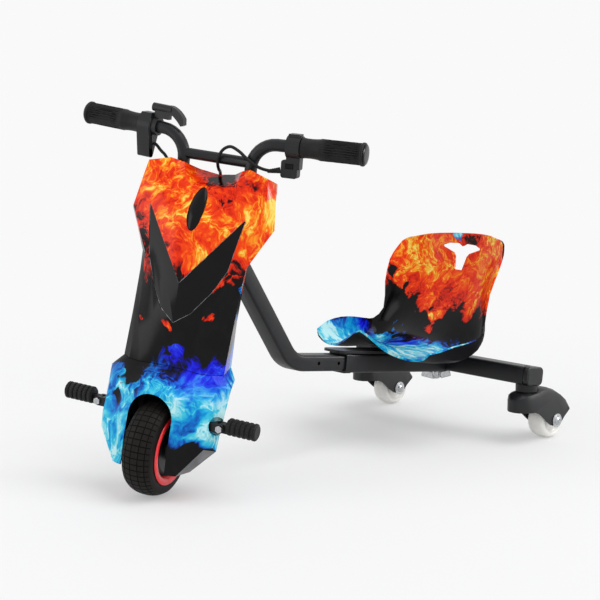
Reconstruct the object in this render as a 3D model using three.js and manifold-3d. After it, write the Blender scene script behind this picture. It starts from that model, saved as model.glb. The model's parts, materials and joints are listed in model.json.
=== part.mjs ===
// Three-wheeled drift trike: a driven, steered front wheel under a printed plastic shell,
// a bucket seat on a low rear frame, and two swivelling casters behind it.
// Millimetres. +Z is up, -Y is the front, +X is the rider's left, floor at Z = 0.
// The steering is turned to the left at rest, as it stands in use.

import * as THREE from "three";
import { mergeVertices } from "three/addons/utils/BufferGeometryUtils.js";
import Module from "manifold-3d";

const wasm = await Module();
wasm.setup();

// Driving dimensions

const wheelRadius = 85;
const tyreWidth = 56;
const rakeDegrees = 17;
const turnDegrees = 25;
const barHalfWidth = 266;
const barHeight = 619;
const barSetback = 143;
const wheelbase = 821;
const casterTrack = 426;
const casterWheelRadius = 37.5;
const casterTrail = 64;
const tubeWidth = 41;
const tubeDepth = 31;
const framePitchDegrees = 7.5;
const neckSlopeDegrees = 57.5;
const seatHalfWidth = 152;
const seatBackHeight = 397;

// Clearances between pieces

const seatedGap = 0.3;
const runningGap = 0.5;
const slidingGap = 0.5;
const seamGap = 0.8;
const overrun = 5;

const radians = THREE.MathUtils.degToRad;
const rake = radians(rakeDegrees);
const turn = radians(turnDegrees);
const pitch = radians(framePitchDegrees);
const neckSlope = radians(neckSlopeDegrees);

// Solids and placing

function cleaned(geometry) {
  const bare = geometry.clone();
  bare.deleteAttribute("normal");
  bare.deleteAttribute("uv");
  const merged = mergeVertices(bare, wheelRadius * 1e-5);
  const kept = [];
  const index = merged.index.array;
  for (let i = 0; i < index.length; i += 3) {
    const [a, b, c] = [index[i], index[i + 1], index[i + 2]];
    if (a !== b && b !== c && c !== a) kept.push(a, b, c);
  }
  merged.setIndex(kept);
  return merged;
}

function toSolid(geometry) {
  const merged = cleaned(geometry);
  const mesh = new wasm.Mesh({
    numProp: 3,
    vertProperties: new Float32Array(merged.attributes.position.array),
    triVerts: new Uint32Array(merged.index.array),
  });
  mesh.merge();
  return new wasm.Manifold(mesh);
}

function toGeometry(solid) {
  const mesh = solid.getMesh();
  const geometry = new THREE.BufferGeometry();
  geometry.setAttribute("position", new THREE.BufferAttribute(mesh.vertProperties, 3));
  geometry.setIndex(new THREE.BufferAttribute(mesh.triVerts, 1));
  return geometry;
}

function join(...geometries) {
  const solids = geometries.map(toSolid);
  return toGeometry(solids.reduce((sum, solid) => sum.add(solid)));
}

function cut(geometry, ...tools) {
  const solid = toSolid(geometry);
  return toGeometry(tools.reduce((rest, tool) => rest.subtract(toSolid(tool)), solid));
}

function common(geometry, other) {
  return toGeometry(toSolid(geometry).intersect(toSolid(other)));
}

function block(width, depth, height, x = 0, y = 0, z = 0) {
  return new THREE.BoxGeometry(width, depth, height).translate(x, y, z);
}

// A cylinder along X, Y or Z about its own middle.
function rod(axis, radius, length, sides = 24) {
  const geometry = new THREE.CylinderGeometry(radius, radius, length, sides);
  if (axis === "x") geometry.rotateZ(Math.PI / 2);
  if (axis === "z") geometry.rotateX(Math.PI / 2);
  return geometry;
}

// Turns a closed outline of [radius, distance] points about the X axis.
function turned(outline, sides) {
  const points = outline.map(([radius, along]) => new THREE.Vector2(radius, along));
  points.push(points[0].clone());
  return new THREE.LatheGeometry(points, sides).rotateZ(-Math.PI / 2);
}

function roundedRectangle(width, height, radius, pathClass = THREE.Shape) {
  const [w, h] = [width / 2, height / 2];
  const shape = new pathClass();
  shape.absarc(w - radius, h - radius, radius, 0, Math.PI / 2);
  shape.absarc(radius - w, h - radius, radius, Math.PI / 2, Math.PI);
  shape.absarc(radius - w, radius - h, radius, Math.PI, 1.5 * Math.PI);
  shape.absarc(w - radius, radius - h, radius, 1.5 * Math.PI, 2 * Math.PI);
  return shape;
}

// A path of straight runs with rounded corners: one step along each run, several round each bend.
class BentPath extends THREE.Curve {
  constructor(points, bendRadius, bendSteps) {
    super();
    this.curves = [];
    this.starts = [0];
    let start = points[0];
    for (let i = 1; i < points.length - 1; i++) {
      const before = points[i - 1].clone().sub(points[i]).normalize();
      const after = points[i + 1].clone().sub(points[i]).normalize();
      const bend = Math.PI - before.angleTo(after);
      const reach = bendRadius * Math.tan(bend / 2);
      const pull = reach - (4 / 3) * Math.tan(bend / 4) * bendRadius;
      const corner = [reach, pull].map((length) => points[i].clone().addScaledVector(before, length));
      const onward = [pull, reach].map((length) => points[i].clone().addScaledVector(after, length));
      this.addCurve(new THREE.LineCurve3(start, corner[0]), 1);
      this.addCurve(new THREE.CubicBezierCurve3(...corner, ...onward), bendSteps);
      start = onward[1];
    }
    this.addCurve(new THREE.LineCurve3(start, points[points.length - 1]), 1);
    this.steps = this.starts[this.starts.length - 1];
  }

  addCurve(curve, steps) {
    this.curves.push(curve);
    this.starts.push(this.starts[this.starts.length - 1] + steps);
  }

  getPoint(share) {
    const place = share * this.steps;
    const last = this.curves.length - 1;
    let i = 0;
    while (i < last && place > this.starts[i + 1]) i++;
    return this.curves[i].getPoint((place - this.starts[i]) / (this.starts[i + 1] - this.starts[i]));
  }

  getUtoTmapping(share) {
    return share;
  }
}

function swept(shape, path, steps, curveSegments = 3) {
  const settings = { steps, curveSegments, extrudePath: path, bevelEnabled: false };
  return new THREE.ExtrudeGeometry(shape, settings);
}

function circle(radius) {
  return new THREE.Shape().absarc(0, 0, radius, 0, 2 * Math.PI);
}

// A closed sheet of even thickness behind a grid of points; rows run one way, columns the other.
function bentSheet(rows, thickness, lift = 0) {
  const down = rows.length;
  const across = rows[0].length;
  const normals = rows.map((row, i) =>
    row.map((_, j) => {
      const alongRow = rows[i][Math.min(j + 1, across - 1)].clone().sub(rows[i][Math.max(j - 1, 0)]);
      const alongColumn = rows[Math.min(i + 1, down - 1)][j].clone().sub(rows[Math.max(i - 1, 0)][j]);
      return alongColumn.cross(alongRow).normalize();
    }),
  );
  const positions = [];
  for (const depth of [lift, lift - thickness]) {
    for (let i = 0; i < down; i++) {
      for (let j = 0; j < across; j++) {
        positions.push(...rows[i][j].clone().addScaledVector(normals[i][j], depth).toArray());
      }
    }
  }
  const at = (side, i, j) => side * down * across + i * across + j;
  const faces = [];
  const quad = (a, b, c, d) => faces.push(a, b, c, a, c, d);
  for (let i = 0; i < down - 1; i++) {
    for (let j = 0; j < across - 1; j++) {
      quad(at(0, i, j), at(0, i + 1, j), at(0, i + 1, j + 1), at(0, i, j + 1));
      quad(at(1, i, j), at(1, i, j + 1), at(1, i + 1, j + 1), at(1, i + 1, j));
    }
  }
  for (let i = 0; i < down - 1; i++) {
    quad(at(0, i, 0), at(1, i, 0), at(1, i + 1, 0), at(0, i + 1, 0));
    quad(at(0, i, across - 1), at(0, i + 1, across - 1), at(1, i + 1, across - 1), at(1, i, across - 1));
  }
  for (let j = 0; j < across - 1; j++) {
    quad(at(0, 0, j), at(0, 0, j + 1), at(1, 0, j + 1), at(1, 0, j));
    quad(at(0, down - 1, j), at(1, down - 1, j), at(1, down - 1, j + 1), at(0, down - 1, j + 1));
  }
  const geometry = new THREE.BufferGeometry();
  geometry.setAttribute("position", new THREE.Float32BufferAttribute(positions, 3));
  geometry.setIndex(faces);
  return geometry;
}

// Resamples a coarse grid of points along smooth curves, first across and then along.
function smoothGrid(rows, across, along) {
  const wide = rows.map((row) => new THREE.CatmullRomCurve3(row, false, "centripetal").getPoints(across));
  const columns = wide[0].map((_, j) => {
    const column = wide.map((row) => row[j]);
    return new THREE.CatmullRomCurve3(column, false, "centripetal").getPoints(along);
  });
  return columns[0].map((_, i) => columns.map((column) => column[i]));
}

function finish(color, roughness, metalness) {
  return new THREE.MeshStandardMaterial({ color, roughness, metalness });
}

const finishes = {
  satinBlack: ["#2a2b2e", 0.45, 0.4],
  rubber: ["#1b1b1c", 0.85, 0],
  blackPlastic: ["#202123", 0.5, 0],
  glossBlack: ["#0c0c0e", 0.12, 0],
  firePrint: ["#e8451c", 0.2, 0],
  icePrint: ["#1f7fd6", 0.2, 0],
  redPaint: ["#c8202a", 0.35, 0.2],
  zinc: ["#c9ccd0", 0.25, 1],
  whiteWheel: ["#e8e6e1", 0.4, 0],
  aluminium: ["#8c8f94", 0.4, 1],
};

function add(group, name, geometry, finishName) {
  const ready = geometry.index ? geometry : cleaned(geometry);
  ready.computeVertexNormals();
  const mesh = new THREE.Mesh(ready, finish(...finishes[finishName]));
  mesh.name = name;
  group.add(mesh);
  return mesh;
}

// Sides of the rider: a name and the sign of X.
const riderSides = [
  ["left", 1],
  ["right", -1],
];

const root = new THREE.Group();

// Front tyre outline: crown, shoulders and bead, with rain grooves round the crown

const rimRadius = 63;
const tyreSeatRadius = 52;
const tyreCrownSag = 9;
const grooveDepth = 2;
const grooveWidth = 2.4;
const grooveSpacing = 11;
const tyreSides = 44;

function crownRadius(offset) {
  const share = (2 * Math.abs(offset)) / tyreWidth;
  return wheelRadius - tyreCrownSag * share ** 2.6;
}

function tyreOutline() {
  const half = tyreWidth / 2;
  const points = [[tyreSeatRadius, -half * 0.82], [rimRadius, -half * 0.98], [rimRadius * 1.1, -half]];
  for (const groove of [-1, 0, 1]) {
    const middle = groove * grooveSpacing;
    for (const [side, depth] of [[-1, 0], [-1, grooveDepth], [1, grooveDepth], [1, 0]]) {
      const offset = middle + (side * grooveWidth) / 2;
      points.push([crownRadius(offset) - depth, offset]);
    }
  }
  points.splice(3, 0, [crownRadius(half * 0.9), -half * 0.9], [crownRadius(half * 0.66), -half * 0.66]);
  points.push([crownRadius(half * 0.66), half * 0.66], [crownRadius(half * 0.9), half * 0.9]);
  points.push([rimRadius * 1.1, half], [rimRadius, half * 0.98], [tyreSeatRadius, half * 0.82]);
  return points;
}

// The raked steering axis leans the turned wheel, so the axle height follows the lowest point.
const lean = Math.asin(Math.sin(rake) * Math.sin(turn));
const axleHeight = Math.max(
  ...tyreOutline().map(([radius, offset]) => radius * Math.cos(lean) + Math.abs(offset) * Math.sin(lean)),
);

const steeringAxis = new THREE.Vector3(0, Math.sin(rake), Math.cos(rake));

function onAxis(distance, ahead = 0) {
  return new THREE.Vector3(
    0,
    distance * Math.sin(rake) - ahead * Math.cos(rake),
    axleHeight + distance * Math.cos(rake) + ahead * Math.sin(rake),
  );
}

// Lays a geometry that is built about the Z axis onto the steering axis.
function alongAxis(geometry, distance, ahead = 0) {
  const place = onAxis(distance, ahead);
  return geometry.rotateX(-rake).translate(place.x, place.y, place.z);
}

// Everything that steers is built straight ahead and turned about the steering axis.
const steered = new THREE.Group();
steered.position.set(0, 0, axleHeight);
steered.quaternion.setFromAxisAngle(steeringAxis, turn);
root.add(steered);
const front = new THREE.Group();
front.position.set(0, 0, -axleHeight);
steered.add(front);

// Front wheel with hub motor

const motorRadius = 47;
const motorWidth = 50;
const motorBossRadius = 17;
const axleRadius = 6;
const axleHalfLength = 56;
const forkInnerHalf = 37;
const rimLipWidth = 4;

function frontWheel() {
  const half = tyreWidth / 2;
  const tyre = turned(tyreOutline(), tyreSides).translate(0, 0, axleHeight);
  add(front, "front_tyre", tyre, "rubber");

  const lip = half + rimLipWidth * 0.6;
  const ring = [
    [motorRadius + seatedGap, -half * 0.78],
    [rimRadius * 0.86, -lip],
    [rimRadius - seatedGap * 2, -lip],
    [rimRadius - seatedGap * 2, -half - seatedGap],
    [tyreSeatRadius - seatedGap, -half * 0.82 - seatedGap],
    [tyreSeatRadius - seatedGap, half * 0.82 + seatedGap],
    [rimRadius - seatedGap * 2, half + seatedGap],
    [rimRadius - seatedGap * 2, lip],
    [rimRadius * 0.86, lip],
    [motorRadius + seatedGap, half * 0.78],
  ];
  add(front, "front_rim", turned(ring, tyreSides).translate(0, 0, axleHeight), "redPaint");

  const motorHalf = motorWidth / 2;
  const bossHalf = forkInnerHalf - runningGap * 2;
  const motor = [
    [axleRadius + seatedGap, -bossHalf],
    [motorBossRadius, -bossHalf],
    [motorBossRadius * 1.15, -motorHalf],
    [motorRadius * 0.86, -motorHalf],
    [motorRadius, -motorHalf * 0.8],
    [motorRadius, motorHalf * 0.8],
    [motorRadius * 0.86, motorHalf],
    [motorBossRadius * 1.15, motorHalf],
    [motorBossRadius, bossHalf],
    [axleRadius + seatedGap, bossHalf],
  ];
  add(front, "hub_motor", turned(motor, 32).translate(0, 0, axleHeight), "blackPlastic");
}

// Fork: steerer, crown, legs and a battery tray, welded

const steererRadius = 14;
const steererTop = 436;
const crownDistance = 108;
const crownThickness = 10;
const legWidth = 30;
const legThickness = 6;
const trayHeight = 246;
const trayThickness = 3;
const trayDepth = 42;
const trayHalfWidth = 70;
const headTubeRadius = 20;
const headTubeBottom = 350;
const headTubeTop = 424;
const cupHeight = 7;
const raceHeight = 6;
const axleNutThickness = 8;
const axleNutRadius = 9.5;

function fork() {
  const legLength = crownDistance + legWidth / 2;
  const legMiddle = (crownDistance - legWidth / 2) / 2;
  const legs = riderSides.map(([, side]) => {
    const x = side * (forkInnerHalf + legThickness / 2);
    return alongAxis(block(legThickness, legWidth, legLength, x), legMiddle);
  });
  const crown = block(2 * (forkInnerHalf + legThickness), legWidth * 1.3, crownThickness);
  const steererLength = steererTop - crownDistance;
  const steerer = rod("z", steererRadius, steererLength);
  const race = rod("z", headTubeRadius, raceHeight);
  const raceMiddle = headTubeBottom - cupHeight - runningGap - raceHeight / 2 - seatedGap;
  const trayMiddle = (trayHeight - axleHeight) * Math.tan(rake) + trayDepth * 0.4;
  const tray = block(2 * trayHalfWidth, trayDepth, trayThickness, 0, trayMiddle, trayHeight);
  const axleHole = rod("x", axleRadius + seatedGap, 4 * forkInnerHalf).translate(0, 0, axleHeight);
  const body = join(
    alongAxis(crown, crownDistance),
    alongAxis(steerer, crownDistance + steererLength / 2),
    alongAxis(race, raceMiddle),
    tray,
    ...legs,
  );
  add(front, "fork", cut(body, axleHole), "satinBlack");

  const axle = rod("x", axleRadius, 2 * axleHalfLength, 16).translate(0, 0, axleHeight);
  add(front, "front_axle", axle, "zinc");
  const nutInner = forkInnerHalf + legThickness + seatedGap;
  for (const [sideName, side] of riderSides) {
    const nut = cut(
      rod("x", axleNutRadius, axleNutThickness, 6),
      rod("x", axleRadius + seatedGap, axleNutThickness + overrun, 16),
    ).translate(side * (nutInner + axleNutThickness / 2), 0, axleHeight);
    add(front, `${sideName}_axle_nut`, nut, "zinc");
  }
}

// Battery pair and controller standing on the tray

const batteryWidth = 48;
const batteryDepth = 38;
const batteryHeight = 92;
const batteryCorner = 3;
const controllerWidth = 36;
const controllerDepth = 15;
const controllerHeight = 46;

function electrics() {
  const floor = trayHeight + trayThickness / 2 + seatedGap;
  const axisSetback = (trayHeight - axleHeight) * Math.tan(rake);
  for (const [sideName, side] of riderSides) {
    const x = side * (trayHalfWidth - batteryWidth / 2);
    const y = axisSetback + trayDepth * 0.4;
    const cell = new THREE.ExtrudeGeometry(roundedRectangle(batteryWidth, batteryDepth, batteryCorner), {
      depth: batteryHeight,
      curveSegments: 2,
      bevelEnabled: false,
    }).translate(x, y, floor);
    add(front, `${sideName}_battery`, cell, "blackPlastic");
  }
  const rise = (controllerHeight / 2) * Math.tan(rake);
  const clear = steererRadius / Math.cos(rake) + rise + controllerDepth / 2 + seatedGap;
  const place = axisSetback + rise + clear;
  const box = block(controllerWidth, controllerDepth, controllerHeight, 0, place, floor + controllerHeight / 2);
  const steerer = alongAxis(rod("z", steererRadius + seatedGap, steererTop), steererTop / 2);
  add(front, "motor_controller", cut(box, steerer), "aluminium");
}

// Handlebar: one bent tube with a welded crossbar, in a clamp on the steerer

const barRadius = 11;
const barBendRadius = 46;
const barSweep = 6;
const barRise = 4;
const uprightHalf = 65;
const barSaddle = 449;
const barSaddleSetback = 6;
const crossbarRadius = 9.5;
const crossbarHeight = 578;
const gripLength = 111;
const gripRadius = 18.2;
const gripFlangeRadius = 20.2;
const gripFlangeWidth = 5;
const plugHead = 3;
const clampWidth = 42;
const clampDepth = 36;
const clampCover = 4;

const gripInner = new THREE.Vector3(barHalfWidth - gripLength, barSetback - barSweep / 2, barHeight - barRise / 2);
const gripOuter = new THREE.Vector3(barHalfWidth, barSetback + barSweep / 2, barHeight + barRise / 2);
const gripDirection = gripOuter.clone().sub(gripInner).normalize();

function mirrored(point, side) {
  return new THREE.Vector3(point.x * side, point.y, point.z);
}

// Lays a geometry built along X from its origin outwards onto one end of the bar.
function onGrip(geometry, side, distance) {
  const direction = mirrored(gripDirection, side);
  const start = mirrored(gripInner, side).addScaledVector(direction, distance);
  const spin = new THREE.Quaternion().setFromUnitVectors(new THREE.Vector3(side, 0, 0), direction);
  return geometry.applyQuaternion(spin).translate(start.x, start.y, start.z);
}

function handlebar() {
  const saddle = onAxis(barSaddle, -barSaddleSetback);
  const corner = gripInner.clone().addScaledVector(gripDirection, -(gripInner.x - uprightHalf));
  corner.x = uprightHalf;
  const low = saddle.clone().setX(uprightHalf);
  const end = gripOuter.clone().addScaledVector(gripDirection, -gripFlangeWidth);
  const points = [end, corner, low].map((point) => mirrored(point, -1));
  points.push(low, corner, end);
  const path = new BentPath(points, barBendRadius, 8);
  const bar = swept(circle(barRadius), path, path.steps, 7);
  const share = (crossbarHeight - low.z) / (corner.z - low.z);
  const cross = low.clone().lerp(corner, share);
  const brace = rod("x", crossbarRadius, 2 * uprightHalf, 16).translate(0, cross.y, cross.z);
  add(front, "handlebar", join(bar, brace), "satinBlack");

  const clampBottom = headTubeTop + cupHeight + runningGap + seatedGap;
  const clampHeight = barSaddle + barRadius + clampCover - clampBottom;
  const clamp = alongAxis(block(clampWidth, clampDepth, clampHeight), clampBottom + clampHeight / 2);
  const barHole = rod("x", barRadius + seatedGap, 2 * clampWidth).translate(0, saddle.y, saddle.z);
  const steererHole = alongAxis(rod("z", steererRadius + seatedGap, steererTop), steererTop / 2);
  add(front, "stem_clamp", cut(clamp, barHole, steererHole), "satinBlack");
}

function grips() {
  const bore = barRadius + seatedGap;
  const outline = [
    [bore, 0],
    [gripRadius * 0.96, 0],
    [gripRadius * 0.94, gripLength * 0.16],
    [gripRadius, gripLength * 0.32],
    [gripRadius, gripLength - gripFlangeWidth],
    [gripFlangeRadius, gripLength - gripFlangeWidth],
    [gripFlangeRadius, gripLength],
    [bore, gripLength],
  ];
  const plug = [
    [0, gripLength + seatedGap - gripFlangeWidth],
    [barRadius - seatedGap, gripLength + seatedGap - gripFlangeWidth],
    [barRadius - seatedGap, gripLength + seatedGap],
    [gripRadius, gripLength + seatedGap],
    [gripRadius * 0.9, gripLength + plugHead],
    [0, gripLength + plugHead],
  ];
  for (const [sideName, side] of riderSides) {
    const sleeve = turned(outline, 24);
    const cap = turned(plug, 24);
    if (side < 0) {
      sleeve.rotateY(Math.PI);
      cap.rotateY(Math.PI);
    }
    add(front, `${sideName}_grip`, onGrip(sleeve, side, 0), "rubber");
    add(front, `${sideName}_grip_plug`, onGrip(cap, side, 0), "glossBlack");
  }
}

// Thumb throttle inboard of the rider's right grip

const housingWidth = 25;
const housingRadius = 20;
const tongueDepth = 13;
const tongueDrop = 57;
const leverHubWidth = 10;
const leverHubRadius = 16;
const leverBarrelRadius = 7.5;
const leverBarrelLength = 39;
const leverBarrelOffset = 8.8;
const leverRise = 33.2;
const paddleLength = 27;
const paddleDrop = 25;
const paddleWidth = 12;

function collarWithTongue(width, drop, depth, endRadius) {
  const ring = rod("x", housingRadius, width, 28);
  const lug = block(width * 0.8, housingRadius, housingRadius * 1.12, 0, 0, housingRadius * 0.56);
  const profile = new THREE.Shape();
  profile.moveTo(-depth / 2, 0);
  profile.lineTo(-depth / 2, endRadius - drop);
  profile.absarc(endRadius - depth / 2, endRadius - drop, endRadius, Math.PI, 1.5 * Math.PI);
  profile.absarc(depth / 2 - endRadius, endRadius - drop, endRadius, 1.5 * Math.PI, 2 * Math.PI);
  profile.lineTo(depth / 2, 0);
  profile.closePath();
  const tongue = new THREE.ExtrudeGeometry(profile, { depth: width, curveSegments: 4, bevelEnabled: false });
  tongue.translate(0, 0, -width / 2);
  tongue.rotateY(Math.PI / 2);
  tongue.rotateX(Math.PI / 2);
  const bore = rod("x", barRadius + seatedGap, width + overrun);
  return cut(join(ring, lug, tongue), bore);
}

function throttle() {
  const housing = collarWithTongue(housingWidth, tongueDrop, tongueDepth, tongueDepth * 0.4);
  add(front, "throttle_housing", onGrip(housing, -1, -housingWidth / 2 - seatedGap * 2), "blackPlastic");

  const hub = rod("x", leverHubRadius, leverHubWidth, 28);
  const barrel = rod("x", leverBarrelRadius, leverBarrelLength, 18);
  barrel.translate(leverBarrelOffset, 0, leverRise);
  const webLength = leverHubWidth / 2 + leverBarrelOffset + leverBarrelLength * 0.4;
  const webFoot = leverHubRadius * 0.96;
  const web = block(webLength, leverBarrelRadius * 1.5, leverRise - webFoot);
  web.translate((webLength - leverHubWidth) / 2, 0, (leverRise + webFoot) / 2);
  const blade = new THREE.Shape();
  blade.moveTo(-leverBarrelRadius, leverBarrelRadius * 0.95);
  blade.lineTo(0, leverBarrelRadius * 0.95);
  blade.quadraticCurveTo(paddleLength * 0.6, leverBarrelRadius * 0.3, paddleLength * 0.96, -paddleDrop * 0.45);
  blade.lineTo(paddleLength, -paddleDrop * 0.88);
  blade.lineTo(paddleLength * 0.8, -paddleDrop);
  blade.quadraticCurveTo(paddleLength * 0.45, -leverBarrelRadius * 1.9, 0, -leverBarrelRadius * 0.95);
  blade.lineTo(-leverBarrelRadius, -leverBarrelRadius * 0.95);
  blade.closePath();
  const paddle = new THREE.ExtrudeGeometry(blade, { depth: paddleWidth, curveSegments: 6, bevelEnabled: false });
  paddle.rotateX(Math.PI / 2);
  paddle.translate(leverBarrelOffset + leverBarrelLength / 2, paddleWidth / 2, leverRise);
  const bore = rod("x", barRadius + runningGap, leverHubWidth + overrun);
  const lever = cut(join(hub, barrel, web, paddle), bore);
  const inboard = housingWidth + leverHubWidth / 2 + seatedGap * 2 + runningGap;
  add(front, "throttle_lever", onGrip(lever, -1, -inboard), "blackPlastic");
}

// Control box with a rocker inboard of the rider's left grip

const boxWidth = 30;
const boxDepth = 17;
const boxHeight = 31;
const boxDrop = 38;
const boxOffset = 6;
const boxCorner = 5;
const rockerWidth = 14;
const rockerHeight = 8;
const rockerDepth = 5;
const rockerProud = 1.6;

function controlBox() {
  const collar = collarWithTongue(housingWidth, boxDrop, boxDepth, boxDepth * 0.2);
  const body = new THREE.ExtrudeGeometry(roundedRectangle(boxWidth, boxHeight, boxCorner), {
    depth: boxDepth,
    curveSegments: 3,
    bevelEnabled: false,
  });
  body.rotateX(Math.PI / 2);
  body.translate(-boxOffset, boxDepth / 2, -boxDrop);
  const pocketDepth = rockerDepth + 3 * runningGap;
  const pocket = block(rockerWidth + 2 * runningGap, 2 * pocketDepth, rockerHeight + 2 * runningGap);
  pocket.translate(-boxOffset, -boxDepth / 2, -boxDrop + boxHeight * 0.16);
  const place = -housingWidth / 2 - seatedGap * 2;
  const box = cut(join(collar, body), pocket, rod("x", barRadius + seatedGap, 3 * boxWidth));
  add(front, "control_box", onGrip(box, 1, place), "blackPlastic");

  const rocker = new THREE.Shape();
  rocker.moveTo(-rockerWidth / 2, 0);
  rocker.lineTo(rockerWidth / 2, 0);
  rocker.lineTo(rockerWidth / 2, -rockerDepth - rockerProud);
  rocker.lineTo(0, -rockerDepth);
  rocker.lineTo(-rockerWidth / 2, -rockerDepth - rockerProud);
  rocker.closePath();
  const key = new THREE.ExtrudeGeometry(rocker, { depth: rockerHeight, bevelEnabled: false });
  key.translate(-boxOffset, rockerDepth - boxDepth / 2, -rockerHeight / 2 - boxDrop + boxHeight * 0.16);
  add(front, "speed_rocker", onGrip(key, 1, place), "glossBlack");
}

// Printed front shell: half sections from the rim down, as shares of half width, depth and height.
// Each section runs centre, three face points, front crease, side crease, back edge.

const shellHalfWidth = 140;
const shellDepth = 200;
const shellHeight = 520;
const shellFoot = 50;
const shellWall = 3;

const upperShellShares = [
  [[0, 0.75, 0.956], [0.243, 0.71, 0.967], [0.4, 0.61, 0.988], [0.543, 0.55, 1], [0.814, 0.5, 0.983],
    [0.857, 0.625, 0.965], [0.771, 0.8, 0.952]],
  [[0, 0.475, 0.925], [0.243, 0.47, 0.929], [0.414, 0.465, 0.938], [0.571, 0.465, 0.948], [0.843, 0.475, 0.942],
    [0.9, 0.575, 0.929], [0.8, 0.76, 0.923]],
  [[0, 0.31, 0.829], [0.243, 0.32, 0.829], [0.443, 0.34, 0.829], [0.65, 0.37, 0.833], [0.914, 0.41, 0.829],
    [0.979, 0.485, 0.819], [0.8, 0.7, 0.815]],
  [[0, 0.24, 0.75], [0.221, 0.25, 0.75], [0.393, 0.275, 0.75], [0.571, 0.31, 0.75], [0.757, 0.35, 0.75],
    [0.843, 0.435, 0.75], [0.7, 0.64, 0.75]],
  [[0, 0.185, 0.683], [0.193, 0.205, 0.683], [0.343, 0.235, 0.683], [0.486, 0.27, 0.683], [0.621, 0.31, 0.683],
    [0.714, 0.385, 0.683], [0.6, 0.6, 0.683]],
  [[0, 0.133, 0.619], [0.179, 0.155, 0.619], [0.321, 0.19, 0.619], [0.443, 0.23, 0.619], [0.586, 0.28, 0.619],
    [0.7, 0.35, 0.619], [0.586, 0.58, 0.619]],
  [[0, 0.085, 0.485], [0.171, 0.1, 0.485], [0.3, 0.125, 0.485], [0.414, 0.155, 0.485], [0.564, 0.2, 0.485],
    [0.693, 0.27, 0.485], [0.586, 0.51, 0.485]],
];

const seamShares = [
  [0, 0.1, 0.338], [0.171, 0.095, 0.337], [0.3, 0.095, 0.335], [0.429, 0.1, 0.333], [0.571, 0.11, 0.335],
  [0.693, 0.175, 0.337], [0.6, 0.46, 0.337],
];

const fenderShares = [
  [[0, -0.03, 0.306], [0.171, -0.02, 0.304], [0.314, 0, 0.302], [0.471, 0.025, 0.302], [0.707, 0.06, 0.304],
    [0.829, 0.14, 0.298], [0.679, 0.44, 0.298]],
  [[0, -0.19, 0.269], [0.171, -0.18, 0.267], [0.329, -0.155, 0.263], [0.5, -0.11, 0.258], [0.714, -0.025, 0.25],
    [0.821, 0.1, 0.246], [0.65, 0.4, 0.246]],
  [[0, -0.225, 0.16], [0.171, -0.22, 0.16], [0.329, -0.205, 0.16], [0.514, -0.17, 0.16], [0.707, -0.115, 0.16],
    [0.807, 0.03, 0.154], [0.61, 0.31, 0.154]],
  [[0, -0.245, 0.108], [0.171, -0.245, 0.108], [0.329, -0.23, 0.108], [0.514, -0.19, 0.108], [0.707, -0.12, 0.11],
    [0.8, -0.005, 0.098], [0.6, 0.25, 0.098]],
  [[0, -0.26, 0.013], [0.143, -0.26, 0.013], [0.3, -0.255, 0.013], [0.364, -0.245, 0.013], [0.436, -0.22, 0.013],
    [0.529, -0.085, 0.019], [0.5, 0.11, 0.019]],
];

function shellPoint([x, y, z]) {
  return new THREE.Vector3(x * shellHalfWidth, y * shellDepth, shellFoot + z * shellHeight);
}

function fullSection(halfShares, drop = 0) {
  const half = halfShares.map(shellPoint);
  half.forEach((point) => (point.z -= drop));
  const otherSide = half.slice(1).map((point) => mirrored(point, -1));
  return [...otherSide.reverse(), ...half];
}

const upperRows = [...upperShellShares, seamShares].map((row) => fullSection(row));
const fenderRows = [fullSection(seamShares, seamGap), ...fenderShares.map((row) => fullSection(row))];

// Outline of the gloss insert seen from the front: two fins that meet in a V
const finWidthShare = 0.657;
const finTipShare = 0.842;
const insertNotchShare = 0.619;
const insertPointShare = 0.485;
const insertEdgeShares = [
  [0.83, 0.53],
  [0.61, 0.31],
  [0.315, 0.11],
];
const insertRecess = 1.2;

function upTheShell(share) {
  return shellFoot + share * shellHeight;
}

function insertShape(inset) {
  const finTipHalf = finWidthShare * shellHalfWidth;
  const finTipHeight = upTheShell(finTipShare);
  const insertNotchHeight = upTheShell(insertNotchShare);
  const insertPointHeight = upTheShell(insertPointShare);
  const rise = finTipHeight - insertPointHeight;
  const shape = new THREE.Shape();
  shape.moveTo(0, insertPointHeight + inset);
  for (const [across, up] of [...insertEdgeShares].reverse()) {
    shape.lineTo(across * finTipHalf - inset, insertPointHeight + up * rise);
  }
  shape.lineTo(finTipHalf - inset, finTipHeight - 2 * inset);
  shape.lineTo(finTipHalf - grooveWidth - inset, finTipHeight - 2 * inset);
  shape.lineTo(0, insertNotchHeight - inset);
  shape.lineTo(grooveWidth + inset - finTipHalf, finTipHeight - 2 * inset);
  shape.lineTo(inset - finTipHalf, finTipHeight - 2 * inset);
  for (const [across, up] of insertEdgeShares) {
    shape.lineTo(inset - across * finTipHalf, insertPointHeight + up * rise);
  }
  shape.closePath();
  return shape;
}

// Runs an outline in the XZ plane through the shell, from its front backwards.
function frontPrism(shape, curveSegments = 12) {
  const depth = shellDepth * 1.2;
  const prism = new THREE.ExtrudeGeometry(shape, { depth, curveSegments, bevelEnabled: false });
  prism.rotateX(Math.PI / 2);
  prism.translate(0, depth - shellDepth * 0.4, 0);
  return prism;
}

const lampHalfWidth = 14.5;
const lampHalfHeight = 36;
const lampHeightShare = 0.854;
const lampProud = 1;
const lampWall = 5;

function lampShape(inset) {
  const height = upTheShell(lampHeightShare);
  return new THREE.Shape().absellipse(0, height, lampHalfWidth - inset, lampHalfHeight - inset, 0, 2 * Math.PI);
}

const archHalfWidth = 42;
const archClearance = 18;
const pegHeight = 150;
const pegHoleRadius = 16;

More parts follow.
